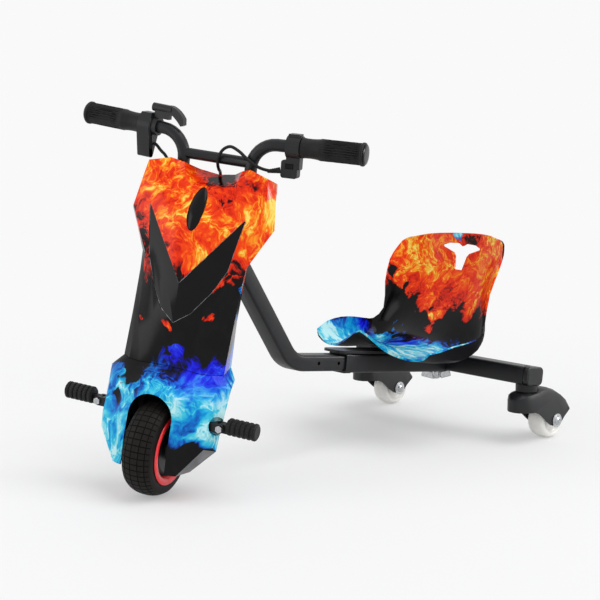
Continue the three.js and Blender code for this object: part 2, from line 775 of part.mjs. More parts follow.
function archShape() {
  const springing = 2 * wheelRadius + archClearance - archHalfWidth;
  const shape = new THREE.Shape();
  shape.moveTo(archHalfWidth, -shellFoot);
  shape.lineTo(archHalfWidth, springing);
  shape.absarc(0, springing, archHalfWidth, 0, Math.PI);
  shape.lineTo(-archHalfWidth, -shellFoot);
  shape.closePath();
  return shape;
}

function shell() {
  const upper = cut(
    bentSheet(upperRows, shellWall),
    frontPrism(insertShape(0)),
    frontPrism(lampShape(0), 10),
  );
  add(front, "front_shell", upper, "firePrint");

  const insert = common(bentSheet(upperRows, shellWall, -insertRecess), frontPrism(insertShape(seatedGap * 2)));
  add(front, "gloss_insert", insert, "glossBlack");

  const lens = common(bentSheet(upperRows, lampWall, lampProud), frontPrism(lampShape(seatedGap), 10));
  add(front, "headlamp_lens", lens, "glossBlack");

  const pegHole = rod("x", pegHoleRadius, 4 * shellHalfWidth, 20).translate(0, 0, pegHeight - pegPivotDrop);
  const fender = cut(bentSheet(fenderRows, shellWall), frontPrism(archShape()), pegHole);
  add(front, "wheel_fender", fender, "icePrint");
}

// Back panel that closes the battery bay between the shell's back edges

const backPanelBow = 14;
const backPanelInset = 4;

function backPanel() {
  const rows = [upperRows[upperRows.length - 2], upperRows[upperRows.length - 1], fenderRows[1]].map((row) => {
    const edge = row[row.length - 1];
    const half = edge.x - backPanelInset;
    return [-1, -0.6, -0.2, 0.2, 0.6, 1].map(
      (share) => new THREE.Vector3(-share * half, edge.y + backPanelBow * (1 - share ** 2), edge.z),
    );
  });
  add(front, "back_panel", bentSheet(rows, shellWall), "blackPlastic");
}

// Foot pegs: bracket on the fork leg, folding peg and its pivot bolt

const pegOuter = 184;
const pegRadius = 15;
const pegRibs = 6;
const pegRootLength = 12;
const pegPivotX = 118;
const pegPivotDrop = 5;
const pegBoltRadius = 4;
const pegBoltHead = 6.5;
const pegEarThickness = 4;
const pegTongueHalf = 6;
const bracketRadius = 8;
const bracketPlate = 5;

function footPegs() {
  const legOuter = forkInnerHalf + legThickness;
  const pivotZ = pegHeight - pegPivotDrop;
  const legSetback = (pegHeight - axleHeight) * Math.tan(rake);
  for (const [sideName, side] of riderSides) {
    const plate = block(bracketPlate, legWidth, legWidth).translate(
      side * (legOuter + seatedGap + bracketPlate / 2),
      legSetback,
      pegHeight,
    );
    const armStart = legOuter + seatedGap + bracketPlate / 2;
    const armLength = pegPivotX - pegTongueHalf - armStart;
    const arm = block(armLength, 2 * pegTongueHalf + 2 * pegEarThickness, 2 * bracketRadius);
    arm.translate(side * (armStart + armLength / 2), 0, pivotZ);
    const slope = block(bracketPlate, legWidth * 1.2, legWidth * 0.6);
    slope.translate(side * (armStart + bracketPlate / 2), legSetback / 2, pivotZ + legWidth * 0.1);
    const ears = [-1, 1].map((face) => {
      const ear = rod("y", bracketRadius, pegEarThickness, 20);
      const reach = block(bracketRadius + pegTongueHalf * 2, pegEarThickness, 2 * bracketRadius);
      reach.translate(-side * (bracketRadius + pegTongueHalf * 2) * 0.5, 0, 0);
      return join(ear, reach).translate(
        side * pegPivotX,
        face * (pegTongueHalf + runningGap + pegEarThickness / 2),
        pivotZ,
      );
    });
    const hole = rod("y", pegBoltRadius + seatedGap, 4 * bracketRadius, 16).translate(side * pegPivotX, 0, pivotZ);
    const slot = block(2 * bracketRadius, 2 * (pegTongueHalf + runningGap), 4 * bracketRadius);
    slot.translate(side * (pegPivotX + seatedGap), 0, pivotZ);
    const bracket = cut(join(plate, arm, slope, ...ears), hole, slot);
    add(front, `${sideName}_peg_bracket`, bracket, "satinBlack");

    const length = pegOuter - pegPivotX - pegRootLength;
    const ribLength = length / pegRibs;
    const outline = [[0, 0]];
    for (let i = 0; i < pegRibs; i++) {
      outline.push([pegRadius * 0.84, i * ribLength]);
      outline.push([pegRadius, (i + 0.22) * ribLength]);
      outline.push([pegRadius, (i + 0.78) * ribLength]);
    }
    outline.push([pegRadius * 0.84, length], [0, length]);
    const ribs = turned(outline, 12);
    const tongue = rod("y", bracketRadius - seatedGap, 2 * pegTongueHalf, 20);
    const neck = block(pegRootLength * 2, 2 * pegTongueHalf, 2 * bracketRadius - 2 * seatedGap);
    neck.translate(pegRootLength, 0, 0);
    const peg = join(ribs.translate(pegRootLength, 0, pegPivotDrop), tongue, neck);
    const pegHole = rod("y", pegBoltRadius + seatedGap, 4 * bracketRadius, 16);
    const finished = cut(peg, pegHole);
    if (side < 0) finished.rotateZ(Math.PI);
    finished.translate(side * pegPivotX, 0, pivotZ);
    add(front, `${sideName}_foot_peg`, finished, "rubber");

    const earOuter = pegTongueHalf + runningGap + pegEarThickness;
    const shank = rod("y", pegBoltRadius, 2 * earOuter, 16);
    const head = rod("y", pegBoltHead, pegEarThickness, 6).translate(0, -earOuter - pegEarThickness / 2, 0);
    const nut = rod("y", pegBoltHead, pegEarThickness, 6).translate(0, earOuter + pegEarThickness / 2, 0);
    head.translate(0, -seatedGap, 0);
    nut.translate(0, seatedGap, 0);
    const longShank = rod("y", pegBoltRadius, 2 * earOuter + pegEarThickness, 16);
    const bolt = join(shank, longShank, head, nut).translate(side * pegPivotX, 0, pivotZ);
    add(front, `${sideName}_peg_bolt`, bolt, "zinc");
  }
}

// Control leads: points chosen by hand, from each housing into the open top of the shell

const leadRadius = 2.8;
const switchLeadRoute = [
  [120.4, 135, 574],
  [104, 127, 571.5],
  [87, 121.5, 574.5],
  [73, 121.5, 580.5],
  [59, 121.5, 588.5],
  [46, 121.5, 597],
  [29, 122.5, 602.5],
  [15, 122.5, 595],
  [7.5, 122.5, 579.5],
  [6, 127, 567],
  [3, 140, 557],
  [-2, 156, 551.5],
  [-2, 163, 536],
];
const throttleLeadRoute = [
  [-129, 142, 584.5],
  [-124, 142.5, 582.5],
  [-115, 143, 574],
  [-105, 142, 567],
  [-97, 141, 556],
  [-93, 140, 540],
];

function lead(name, route) {
  const points = route.map(([x, y, z]) => new THREE.Vector3(x, y, z));
  const path = new THREE.CatmullRomCurve3(points, false, "centripetal");
  add(front, name, swept(circle(leadRadius), path, 26, 3), "rubber");
}

// Main tube: neck down from the head tube, bend, and tail that slides in the rear sleeve

const bendSetback = 308;
const bendHeight = 191.5;
const tubeBendRadius = 60;
const tailEnd = 640;
const tubeWall = 2;
const tubeCorner = 5;
const adjustHoleRadius = 3.6;
const adjustHoleSpacing = 53;
const firstHoleSetback = 371;

const tailDirection = new THREE.Vector3(0, Math.cos(pitch), -Math.sin(pitch));
const neckDirection = new THREE.Vector3(0, -Math.cos(neckSlope), Math.sin(neckSlope));
const bendCorner = new THREE.Vector3(0, bendSetback, bendHeight);

// The point of the tail's centre line at one distance behind the front axle.
function onTail(setback) {
  const run = (setback - bendSetback) / tailDirection.y;
  return bendCorner.clone().addScaledVector(tailDirection, run);
}

function mainFrame() {
  const neckRun = new THREE.Vector3().copy(bendCorner).sub(onAxis(0));
  const across = new THREE.Vector3(0, Math.cos(rake), -Math.sin(rake));
  const neckLength = neckRun.dot(across) / -neckDirection.dot(across);
  const neckTop = bendCorner.clone().addScaledVector(neckDirection, neckLength);
  const shape = roundedRectangle(tubeWidth, tubeDepth, tubeCorner);
  const innerCorner = tubeCorner - tubeWall;
  shape.holes.push(roundedRectangle(tubeWidth - 2 * tubeWall, tubeDepth - 2 * tubeWall, innerCorner, THREE.Path));
  const path = new BentPath([neckTop, bendCorner, onTail(tailEnd)], tubeBendRadius, 8);
  const tube = swept(shape, path, path.steps, 2);
  const headSpace = alongAxis(
    rod("z", headTubeRadius + seatedGap, headTubeTop, 36),
    (headTubeTop + headTubeBottom) / 2,
  );
  const tools = [headSpace];
  for (let i = 0; i < 2; i++) {
    const place = onTail(firstHoleSetback + i * adjustHoleSpacing);
    tools.push(rod("x", adjustHoleRadius, 2 * tubeWidth, 12).translate(0, place.y, place.z));
  }
  add(root, "main_tube", cut(tube, ...tools), "satinBlack");

  const headLength = headTubeTop - headTubeBottom;
  const headMiddle = (headTubeTop + headTubeBottom) / 2;
  const head = cut(
    rod("z", headTubeRadius, headLength, 36),
    rod("z", steererRadius + runningGap * 3, headLength + overrun),
  );
  add(root, "head_tube", alongAxis(head, headMiddle), "satinBlack");
  for (const [name, distance] of [
    ["lower_headset", headTubeBottom - cupHeight / 2 - seatedGap],
    ["upper_headset", headTubeTop + cupHeight / 2 + seatedGap],
  ]) {
    const cup = cut(
      rod("z", headTubeRadius, cupHeight, 36),
      rod("z", steererRadius + runningGap, cupHeight + overrun),
    );
    add(root, name, alongAxis(cup, distance), "zinc");
  }
}

// Rear frame: sleeve, cross beam and end caps, pitched with the tail

const sleeveWall = 2.5;
const sleeveFront = 456;
const collarLength = 15;
const collarProud = 1;
const beamSetback = 757;
const beamWidth = 50;
const beamHeight = 36;
const beamOverhang = 8;
const beamHalfLength = casterTrack / 2 + beamOverhang;
const beamLift = 2.5;
const beamCorner = 6;
const beamWall = 2.5;
const capLength = 10;
const capPlugLength = 12;
const capProud = 0.6;
const capCorner = 11;
const capBevel = 2;

const sleeveWidth = tubeWidth + 2 * (slidingGap + sleeveWall);
const sleeveDepth = tubeDepth + 2 * (slidingGap + sleeveWall);

const rear = new THREE.Group();
root.add(rear);

// Builds along Y about the tail line: depth is measured from the given setback.
function alongTail(geometry, setback) {
  const place = onTail(setback);
  return geometry.rotateX(-pitch).translate(place.x, place.y, place.z);
}

function rectangularTube(width, height, wall, corner, length) {
  const shape = roundedRectangle(width, height, corner);
  const inner = Math.max(corner - wall, wall / 4);
  shape.holes.push(roundedRectangle(width - 2 * wall, height - 2 * wall, inner, THREE.Path));
  const tube = new THREE.ExtrudeGeometry(shape, { depth: length, curveSegments: 3, bevelEnabled: false });
  return tube.translate(0, 0, -length / 2);
}

function beamMiddle() {
  const upright = new THREE.Vector3(0, Math.sin(pitch), Math.cos(pitch));
  return onTail(beamSetback).addScaledVector(upright, beamLift);
}

// Lays a geometry built about its origin on the middle of the beam, pitched as the tail is.
function onBeamLine(geometry) {
  const middle = beamMiddle();
  return geometry.rotateX(-pitch).translate(0, middle.y, middle.z);
}

function rearFrame() {
  const sleeveLength = (beamSetback - sleeveFront) / Math.cos(pitch) - beamWidth / 2 - seatedGap;
  const sleeve = rectangularTube(sleeveWidth, sleeveDepth, sleeveWall, tubeCorner, sleeveLength);
  sleeve.rotateX(Math.PI / 2).translate(0, sleeveLength / 2, 0);
  const boltHole = rod("z", lockBoltRadius + seatedGap, 2 * sleeveDepth, 16);
  boltHole.translate(0, (lockBoltSetback - sleeveFront) / Math.cos(pitch), 0);
  add(rear, "rear_sleeve", alongTail(cut(sleeve, boltHole), sleeveFront), "satinBlack");

  const collarWall = sleeveWall + slidingGap + collarProud - seatedGap;
  const collarOuter = sleeveWidth + 2 * collarProud;
  const collar = rectangularTube(collarOuter, sleeveDepth + 2 * collarProud, collarWall, tubeCorner, collarLength);
  collar.rotateX(Math.PI / 2).translate(0, -collarLength / 2 - seatedGap, 0);
  add(rear, "sleeve_collar", alongTail(collar, sleeveFront), "blackPlastic");

  const beam = rectangularTube(beamWidth, beamHeight, beamWall, beamCorner, 2 * beamHalfLength);
  beam.rotateY(Math.PI / 2).rotateX(Math.PI / 2);
  const stemHoles = riderSides.map(([, side]) =>
    rod("z", stemBoltRadius + seatedGap, 2 * beamHeight, 16)
      .translate((side * casterTrack) / 2, beamSetback - beamMiddle().y, 0)
      .rotateX(pitch),
  );
  add(rear, "cross_beam", onBeamLine(cut(beam, ...stemHoles)), "satinBlack");

  for (const [sideName, side] of riderSides) {
    const outline = roundedRectangle(beamHeight + 2 * capProud, beamWidth + 2 * capProud, capCorner);
    const cap = new THREE.ExtrudeGeometry(outline, {
      depth: capLength - capBevel,
      curveSegments: 3,
      bevelEnabled: true,
      bevelSize: capBevel,
      bevelThickness: capBevel,
      bevelOffset: -capBevel,
      bevelSegments: 2,
    });
    cap.translate(0, 0, capBevel - capProud);
    const plugInset = 2 * (beamWall + seatedGap);
    const plugShape = roundedRectangle(beamHeight - plugInset, beamWidth - plugInset, beamCorner - beamWall);
    const plug = new THREE.ExtrudeGeometry(plugShape, {
      depth: 2 * capPlugLength,
      curveSegments: 2,
      bevelEnabled: false,
    }).translate(0, 0, -capPlugLength);
    const solid = join(cap, plug).rotateY(Math.PI / 2);
    if (side < 0) solid.rotateZ(Math.PI);
    solid.translate(side * (beamHalfLength + capProud + seatedGap), 0, 0);
    const stemSpace = rod("z", stemBoltRadius + runningGap, 2 * beamHeight, 16);
    stemSpace.translate((side * casterTrack) / 2, beamSetback - beamMiddle().y, 0).rotateX(pitch);
    add(rear, `${sideName}_beam_cap`, onBeamLine(cut(solid, stemSpace)), "blackPlastic");
  }
}

// Seat: support plate, lock bolt, wing nut and moulded bucket

const plateWidth = 56;
const plateThickness = 5;
const plateFront = 420;
const plateBack = 726;
const lockBoltRadius = 4;
const lockBoltSetback = 724;
const lockHeadRadius = 8;
const lockHeadHeight = 3;
const railWidth = 92;
const railDepth = 26;
const railHeight = 22;
const railSetbacks = [592, 668];
const wingSpan = 66;
const wingHeight = 9;
const wingThickness = 5;
const wingHubRadius = 8;
const wingHubHeight = 13;
const washerRadius = 11;
const washerThickness = 1.6;

const sleeveTop = sleeveDepth / 2;

function seatPlate() {
  const length = (plateBack - plateFront) / Math.cos(pitch);
  const shape = roundedRectangle(plateWidth, length, plateWidth * 0.3);
  const plate = new THREE.ExtrudeGeometry(shape, {
    depth: plateThickness,
    curveSegments: 4,
    bevelEnabled: false,
  });
  plate.translate(0, length / 2, sleeveTop + seatedGap + collarProud);
  const foot = block(sleeveWidth, (plateBack - sleeveFront) * 0.86, collarProud * 2);
  foot.translate(0, length * 0.56, sleeveTop + seatedGap + collarProud);
  const hole = rod("z", lockBoltRadius + seatedGap, 4 * sleeveDepth, 16);
  hole.translate(0, (lockBoltSetback - plateFront) / Math.cos(pitch), 0);
  const rails = railSetbacks.map((setback) =>
    block(railWidth, railDepth, railHeight).translate(
      0,
      (setback - plateFront) / Math.cos(pitch),
      sleeveTop + seatedGap + collarProud + railHeight / 2,
    ),
  );
  const support = alongTail(cut(join(plate, foot, ...rails), hole), plateFront);
  const seatSpace = bentSheet(seatSurface(), railHeight + seatWall + seatedGap, railHeight);
  add(rear, "seat_plate", cut(support, seatSpace), "satinBlack");

  const boltLength = sleeveDepth + wingHubHeight + plateThickness + 2 * lockHeadHeight;
  const boltTop = sleeveTop + seatedGap + collarProud + plateThickness + seatedGap;
  const shank = rod("z", lockBoltRadius, boltLength, 16).translate(0, 0, boltTop - boltLength / 2);
  const head = rod("z", lockHeadRadius, lockHeadHeight, 16).translate(0, 0, boltTop + lockHeadHeight / 2);
  const washer = rod("z", washerRadius, washerThickness, 20);
  add(rear, "lock_bolt", alongTail(join(shank, head), lockBoltSetback), "zinc");

  const hub = rod("z", wingHubRadius, wingHubHeight, 16);
  const wings = block(wingSpan, wingThickness, wingHeight).rotateZ(Math.PI / 4);
  washer.translate(0, 0, wingHubHeight / 2 - washerThickness / 2);
  const bore = rod("z", lockBoltRadius + seatedGap, 2 * wingHubHeight, 16);
  const nut = cut(join(hub, wings, washer), bore);
  nut.translate(0, 0, -sleeveTop - seatedGap - wingHubHeight / 2);
  add(rear, "wing_nut", alongTail(nut, lockBoltSetback), "zinc");
}

// Inner surface of the bucket, front edge to top edge. Each row is given as shares of the
// half width, of the distance from front edge to back (seatRun) and of the height above the floor.
const seatFront = 500;
const seatRun = 300;
const seatWall = 4;

const seatShares = [
  [[0, 0.01, 0.577], [0.22, 0.02, 0.537], [0.4, 0.035, 0.496], [0.6, 0.06, 0.473], [0.78, 0.085, 0.469],
    [0.93, 0.095, 0.487], [0.985, 0.115, 0.515]],
  [[0, 0.13, 0.52], [0.22, 0.13, 0.5], [0.4, 0.14, 0.475], [0.6, 0.15, 0.458], [0.78, 0.165, 0.46],
    [0.93, 0.19, 0.494], [1, 0.21, 0.531]],
  [[0, 0.27, 0.476], [0.22, 0.27, 0.472], [0.4, 0.28, 0.463], [0.6, 0.29, 0.45], [0.78, 0.3, 0.442],
    [0.93, 0.32, 0.474], [1, 0.345, 0.541]],
  [[0, 0.42, 0.466], [0.22, 0.42, 0.465], [0.4, 0.43, 0.458], [0.6, 0.435, 0.443], [0.78, 0.44, 0.432],
    [0.93, 0.455, 0.452], [1, 0.475, 0.538]],
  [[0, 0.56, 0.474], [0.22, 0.56, 0.473], [0.4, 0.56, 0.466], [0.6, 0.565, 0.448], [0.78, 0.57, 0.438],
    [0.93, 0.575, 0.462], [0.99, 0.58, 0.535]],
  [[0, 0.665, 0.52], [0.22, 0.665, 0.518], [0.4, 0.665, 0.51], [0.6, 0.665, 0.49], [0.78, 0.662, 0.47],
    [0.92, 0.658, 0.492], [0.97, 0.655, 0.538]],
  [[0, 0.79, 0.62], [0.22, 0.788, 0.62], [0.4, 0.778, 0.616], [0.58, 0.765, 0.608], [0.73, 0.745, 0.598],
    [0.85, 0.725, 0.592], [0.89, 0.712, 0.592]],
  [[0, 0.915, 0.75], [0.22, 0.91, 0.75], [0.4, 0.895, 0.748], [0.58, 0.865, 0.745], [0.74, 0.82, 0.74],
    [0.87, 0.77, 0.735], [0.915, 0.742, 0.733]],
  [[0, 0.99, 0.87], [0.22, 0.985, 0.87], [0.4, 0.965, 0.868], [0.58, 0.93, 0.865], [0.75, 0.885, 0.86],
    [0.9, 0.833, 0.855], [0.955, 0.81, 0.852]],
  [[0, 1.005, 0.94], [0.22, 1, 0.94], [0.4, 0.985, 0.94], [0.58, 0.957, 0.937], [0.75, 0.92, 0.93],
    [0.89, 0.883, 0.92], [0.935, 0.868, 0.915]],
  [[0, 1.01, 1], [0.2, 1.006, 1], [0.38, 0.994, 0.998], [0.55, 0.972, 0.993], [0.7, 0.943, 0.982],
    [0.82, 0.922, 0.974], [0.89, 0.902, 0.957]],
];

// The moulding is warped a little: its left front lobe hangs lower than the right one, and its top
// edge rises towards the left. Shares are given row by row.
const lobeWarp = 11;
const lobeWarpShares = [0.6, 1, 1, 0.75, 0.3, 0, 0, 0, 0, 0, 0];
const topTilt = 8;
const topTiltShares = [0, 0, 0, 0, 0, 0, 0, 0.1, 0.35, 0.7, 1];

const holdTopHalf = 57;
const holdBottomHalf = 18;
const holdTop = 371;
const holdBottom = 321;
const holdCorner = 9;

function seatRows() {
  return seatShares.map((shares, i) => {
    const half = shares.map(
      ([x, y, z]) => new THREE.Vector3(x * seatHalfWidth, seatFront + y * seatRun, z * seatBackHeight),
    );
    const warp = (point, side) => {
      const reach = point.x / seatHalfWidth;
      const rise = reach * topTilt * topTiltShares[i] - reach ** 4 * lobeWarp * lobeWarpShares[i];
      return new THREE.Vector3(point.x * side, point.y, point.z + side * rise);
    };
    const leftSide = half.map((point) => warp(point, 1));
    const rightSide = half.slice(1).map((point) => warp(point, -1));
    return [...rightSide.reverse(), ...leftSide];
  });
}

function holdShape() {
  const shape = new THREE.Shape();
  shape.moveTo(0, holdBottom);
  shape.lineTo(holdBottomHalf - holdCorner / 2, holdBottom);
  shape.quadraticCurveTo(holdBottomHalf, holdBottom, holdBottomHalf + holdCorner / 4, holdBottom + holdCorner / 2);
  shape.lineTo(holdTopHalf, holdTop - 2 * holdCorner);
  shape.quadraticCurveTo(holdTopHalf + holdCorner / 2, holdTop, holdTopHalf - holdCorner, holdTop);
  shape.lineTo(holdCorner - holdTopHalf, holdTop);
  shape.quadraticCurveTo(-holdTopHalf - holdCorner / 2, holdTop, -holdTopHalf, holdTop - 2 * holdCorner);
  shape.lineTo(-holdBottomHalf - holdCorner / 4, holdBottom + holdCorner / 2);
  shape.quadraticCurveTo(-holdBottomHalf, holdBottom, holdCorner / 2 - holdBottomHalf, holdBottom);
  shape.closePath();
  return shape;
}

function seatSurface() {
  return smoothGrid(seatRows(), 24, 20).reverse();
}

function seat() {
  const rows = seatSurface();
  const hold = new THREE.ExtrudeGeometry(holdShape(), { depth: seatRun, curveSegments: 3, bevelEnabled: false });
  hold.rotateX(Math.PI / 2).translate(0, seatFront + 1.6 * seatRun, 0);
  const top = boltHeadSpace();
  add(rear, "bucket_seat", cut(bentSheet(rows, seatWall), hold, top), "firePrint");
}

// Room for the lock bolt's head under the pan.
function boltHeadSpace() {
  const height = 2 * lockHeadHeight + plateThickness;
  const space = rod("z", lockHeadRadius + seatedGap, height, 16);
  return alongTail(space.translate(0, 0, sleeveTop + height / 2), lockBoltSetback);
}

// Swivelling casters: stem, yoke, hood, axle and wheel on each side

const stemRadius = 22;
const stemBoltRadius = 6;
const stemBoltHead = 9;
const stemTop = 126;
const stemFoot = 104;
const yokeTop = 96.5;
const yokeNeckRadius = 14;
const yokeThickness = 4;
const yokeHalfInner = 20.8;
const yokeLegWidth = 26;
const yokeWall = 3;
const yokeEyeRadius = 11;
const casterWheelWidth = 40;
const casterAxleRadius = 4;
const casterWasherRadius = 11.5;
const casterWasherThickness = 2;
const hoodHalfWidth = 27.5;
const hoodWall = 2.5;
const hoodNose = 43;
const hoodTail = 111;
const hoodCrown = 108;

// The hood's half width and top at stations behind its nose, as shares of its own
// half width and crown height; the nose is half round in plan.
const hoodSectionShares = [
  [0, 0.2, 0.83], [0.02, 0.5, 0.88], [0.075, 0.82, 0.93], [0.175, 1, 0.955], [0.32, 1, 0.965],
  [0.42, 1, 1], [0.54, 1, 0.997], [0.675, 1, 0.93], [0.79, 1, 0.84], [0.9, 1, 0.72], [1, 1, 0.53],
];

// Side outline of the hood's lower edge: along its length and up to its crown height.
const hoodEdgeShares = [
  [-0.05, 0.61], [0.14, 0.605], [0.25, 0.59], [0.34, 0.54], [0.43, 0.44], [0.5, 0.36], [0.58, 0.28], [0.65, 0.25],
  [0.74, 0.255], [0.81, 0.31], [0.86, 0.38], [1, 0.53], [1.1, 1.3], [-0.05, 1.3],
];

// A solid through rings of equal point counts, closed by a fan at either end.
function loft(rings) {
  const count = rings[0].length;
  const positions = rings.flat().flatMap((point) => point.toArray());
  const faces = [];
  for (let i = 0; i < rings.length - 1; i++) {
    for (let j = 0; j < count; j++) {
      const [a, b] = [i * count + j, i * count + ((j + 1) % count)];
      faces.push(a, b + count, b, a, a + count, b + count);
    }
  }
  const last = (rings.length - 1) * count;
  for (let j = 1; j < count - 1; j++) {
    faces.push(0, j, j + 1, last, last + j + 1, last + j);
  }
  const geometry = new THREE.BufferGeometry();
  geometry.setAttribute("position", new THREE.Float32BufferAttribute(positions, 3));
  geometry.setIndex(faces);
  return geometry;
}

// Arched sections of the hood, drawn in by an inset and reaching down below the floor line.
function hoodSolid(inset) {
  const length = hoodNose + hoodTail;
  const rings = hoodSectionShares.map(([along, across, up], i) => {
    const ends = i === 0 ? inset : 0;
    const y = along * length - hoodNose + ends + (inset && i === hoodSectionShares.length - 1 ? overrun : 0);
    const half = Math.max(across * hoodHalfWidth - inset, hoodWall);
    const top = up * hoodCrown - inset;
    const section = [[1, -0.3], [1, 0.87], [0.9, 0.965], [0.62, 1]];
    const left = section.map(([x, z]) => new THREE.Vector3(x * half, y, z * top));
    const right = section.map(([x, z]) => new THREE.Vector3(-x * half, y, z * top));
    return [...left, ...right.reverse()];
  });
  return loft(rings);
}

// Runs a (y, z) outline across X, centred on the caster's middle plane.
function acrossCaster(shape, width) {
  const prism = new THREE.ExtrudeGeometry(shape, { depth: width, curveSegments: 8, bevelEnabled: false });
  prism.translate(0, 0, -width / 2);
  return prism.rotateY(Math.PI / 2).rotateX(Math.PI / 2);
}

function casterHood() {
  const length = hoodNose + hoodTail;
  const edge = hoodEdgeShares.map(([along, up]) => new THREE.Vector2(along * length - hoodNose, up * hoodCrown));
  const trimmed = common(hoodSolid(0), acrossCaster(new THREE.Shape(edge), 3 * hoodHalfWidth));
  const recess = rod("z", stemRadius + runningGap, hoodCrown, 28);
  recess.translate(0, 0, stemFoot - seatedGap * 2 + hoodCrown / 2);
  return cut(trimmed, hoodSolid(hoodWall), recess);
}

// Side outline of a yoke leg: a web that narrows to an eye round the axle.
function yokeLeg(x) {
  const top = yokeTop;
  const legFront = casterTrail - yokeEyeRadius - yokeLegWidth;
  const shape = new THREE.Shape();
  shape.moveTo(legFront, top - yokeThickness);
  shape.lineTo(casterTrail - yokeEyeRadius * 1.3, casterWheelRadius);
  shape.absarc(casterTrail, casterWheelRadius, yokeEyeRadius, Math.PI, 2.3 * Math.PI);
  shape.lineTo(casterTrail - yokeEyeRadius, top - yokeThickness);
  shape.lineTo(casterTrail - yokeEyeRadius, top);
  shape.lineTo(legFront, top);
  shape.closePath();
  return acrossCaster(shape, yokeWall).translate(x, 0, 0);
}

function casterStem(side) {
  const beamPlace = beamMiddle();
  const beamSpace = block(4 * stemRadius, beamWidth + 2 * seatedGap, beamHeight + 2 * seatedGap);
  beamSpace.rotateX(-pitch).translate(0, beamPlace.y - beamSetback, beamPlace.z);
  const capSide = beamHalfLength - casterTrack / 2;
  const capSpace = block(2 * stemRadius, beamWidth + 2 * capProud + 2 * seatedGap, beamHeight + 2 * capProud);
  capSpace.translate(side * (capSide + stemRadius), 0, -seatedGap);
  capSpace.rotateX(-pitch).translate(0, beamPlace.y - beamSetback, beamPlace.z);
  const bossHeight = stemTop - stemFoot;
  const boss = rod("z", stemRadius, bossHeight, 28).translate(0, 0, stemFoot + bossHeight / 2);
  const boltTop = beamPlace.z - beamHeight / 2 + beamWall;
  const boltFoot = yokeTop - 2 * yokeThickness;
  const bolt = rod("z", stemBoltRadius, boltTop - boltFoot, 16).translate(0, 0, (boltTop + boltFoot) / 2);
  const head = rod("z", stemBoltHead, yokeThickness, 16);
  head.translate(0, 0, yokeTop - yokeThickness * 1.5 - runningGap);
  return join(cut(boss, beamSpace, capSpace), bolt, head);
}

function casterYoke() {
  const plateTop = stemFoot - runningGap;
  const neckLength = plateTop - yokeTop + yokeThickness;
  const neck = rod("z", yokeNeckRadius, neckLength, 24).translate(0, 0, plateTop - neckLength / 2);
  const roofLength = casterTrail - yokeEyeRadius + yokeNeckRadius;
  const roof = block(2 * (yokeHalfInner + yokeWall), roofLength, yokeThickness);
  roof.translate(0, roofLength / 2 - yokeNeckRadius, yokeTop - yokeThickness / 2);
  const legs = [-1, 1].map((face) => yokeLeg(face * (yokeHalfInner + yokeWall / 2)));
  const axleHole = rod("x", casterAxleRadius + seatedGap, 4 * hoodHalfWidth, 16);
  axleHole.translate(0, casterTrail, casterWheelRadius);
  const stemHole = rod("z", stemBoltRadius + runningGap, 8 * yokeThickness, 20).translate(0, 0, yokeTop);
  const insideHood = common(join(roof, ...legs), hoodSolid(hoodWall + seatedGap));
  return cut(join(neck, insideHood), axleHole, stemHole);
}

function casterAxle() {
  const washerPlace = hoodHalfWidth + seatedGap + casterWasherThickness / 2;
  const shank = rod("x", casterAxleRadius, 2 * washerPlace, 16);
  const ends = [-1, 1].flatMap((face) => [
    rod("x", casterWasherRadius, casterWasherThickness, 24).translate(face * washerPlace, 0, 0),
    rod("x", casterAxleRadius * 1.7, 2 * casterWasherThickness, 6).translate(
      face * (washerPlace + casterWasherThickness),
      0,
      0,
    ),
  ]);
  return join(shank, ...ends).translate(0, casterTrail, casterWheelRadius);
}

function casterWheel() {
  const half = casterWheelWidth / 2;
  const side = [
    [casterAxleRadius + runningGap, 0.96],
    [casterWheelRadius * 0.3, 0.96],
    [casterWheelRadius * 0.42, 0.74],
    [casterWheelRadius * 0.6, 0.78],
    [casterWheelRadius * 0.76, 0.98],
    [casterWheelRadius * 0.9, 0.8],
    [casterWheelRadius * 0.975, 0.5],
    [casterWheelRadius, 0.18],
  ].map(([radius, share]) => [radius, share * half]);
  const otherSide = side.map(([radius, offset]) => [radius, -offset]);
  return turned([...otherSide, ...side.reverse()], 24).translate(0, casterTrail, casterWheelRadius);
}

function casters() {
  for (const [sideName, side] of riderSides) {
    const caster = new THREE.Group();
    caster.position.set((side * casterTrack) / 2, wheelbase - casterTrail, 0);
    root.add(caster);
    add(caster, `${sideName}_caster_stem`, casterStem(side), "satinBlack");
    add(caster, `${sideName}_caster_yoke`, casterYoke(), "zinc");
    const axle = rod("x", casterAxleRadius + seatedGap, 4 * hoodHalfWidth, 16);
    axle.translate(0, casterTrail, casterWheelRadius);
    const neck = rod("z", yokeNeckRadius + runningGap, hoodCrown, 24).translate(0, 0, hoodCrown);
    add(caster, `${sideName}_caster_hood`, cut(casterHood(), axle, neck), "blackPlastic");
    add(caster, `${sideName}_caster_axle`, casterAxle(), "zinc");
    add(caster, `${sideName}_caster_wheel`, casterWheel(), "whiteWheel");
  }
}

frontWheel();
fork();
electrics();
handlebar();
grips();
throttle();
controlBox();
shell();
backPanel();
footPegs();
lead("switch_lead", switchLeadRoute);
lead("throttle_lead", throttleLeadRoute);
mainFrame();
rearFrame();
seatPlate();
seat();
casters();

// The origin is the middle of the trike's outline on the floor.
const bounds = new THREE.Box3().setFromObject(root, true);
root.position.set(-(bounds.min.x + bounds.max.x) / 2, -(bounds.min.y + bounds.max.y) / 2, -bounds.min.z);
root.updateMatrixWorld(true);

export default root;
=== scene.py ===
# %% [markdown]
# # A drift trike in a white studio
# The trike has a raked front fork with a powered wheel under a printed plastic shell, a bent square
# tube for a frame, a printed seat bucket, and two caster wheels that let its tail slide. We load the
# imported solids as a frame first, because every piece that we make has to sit on them.

# %% Load the frame
import json
import math

import bmesh
import bpy
from mathutils import Matrix, Vector


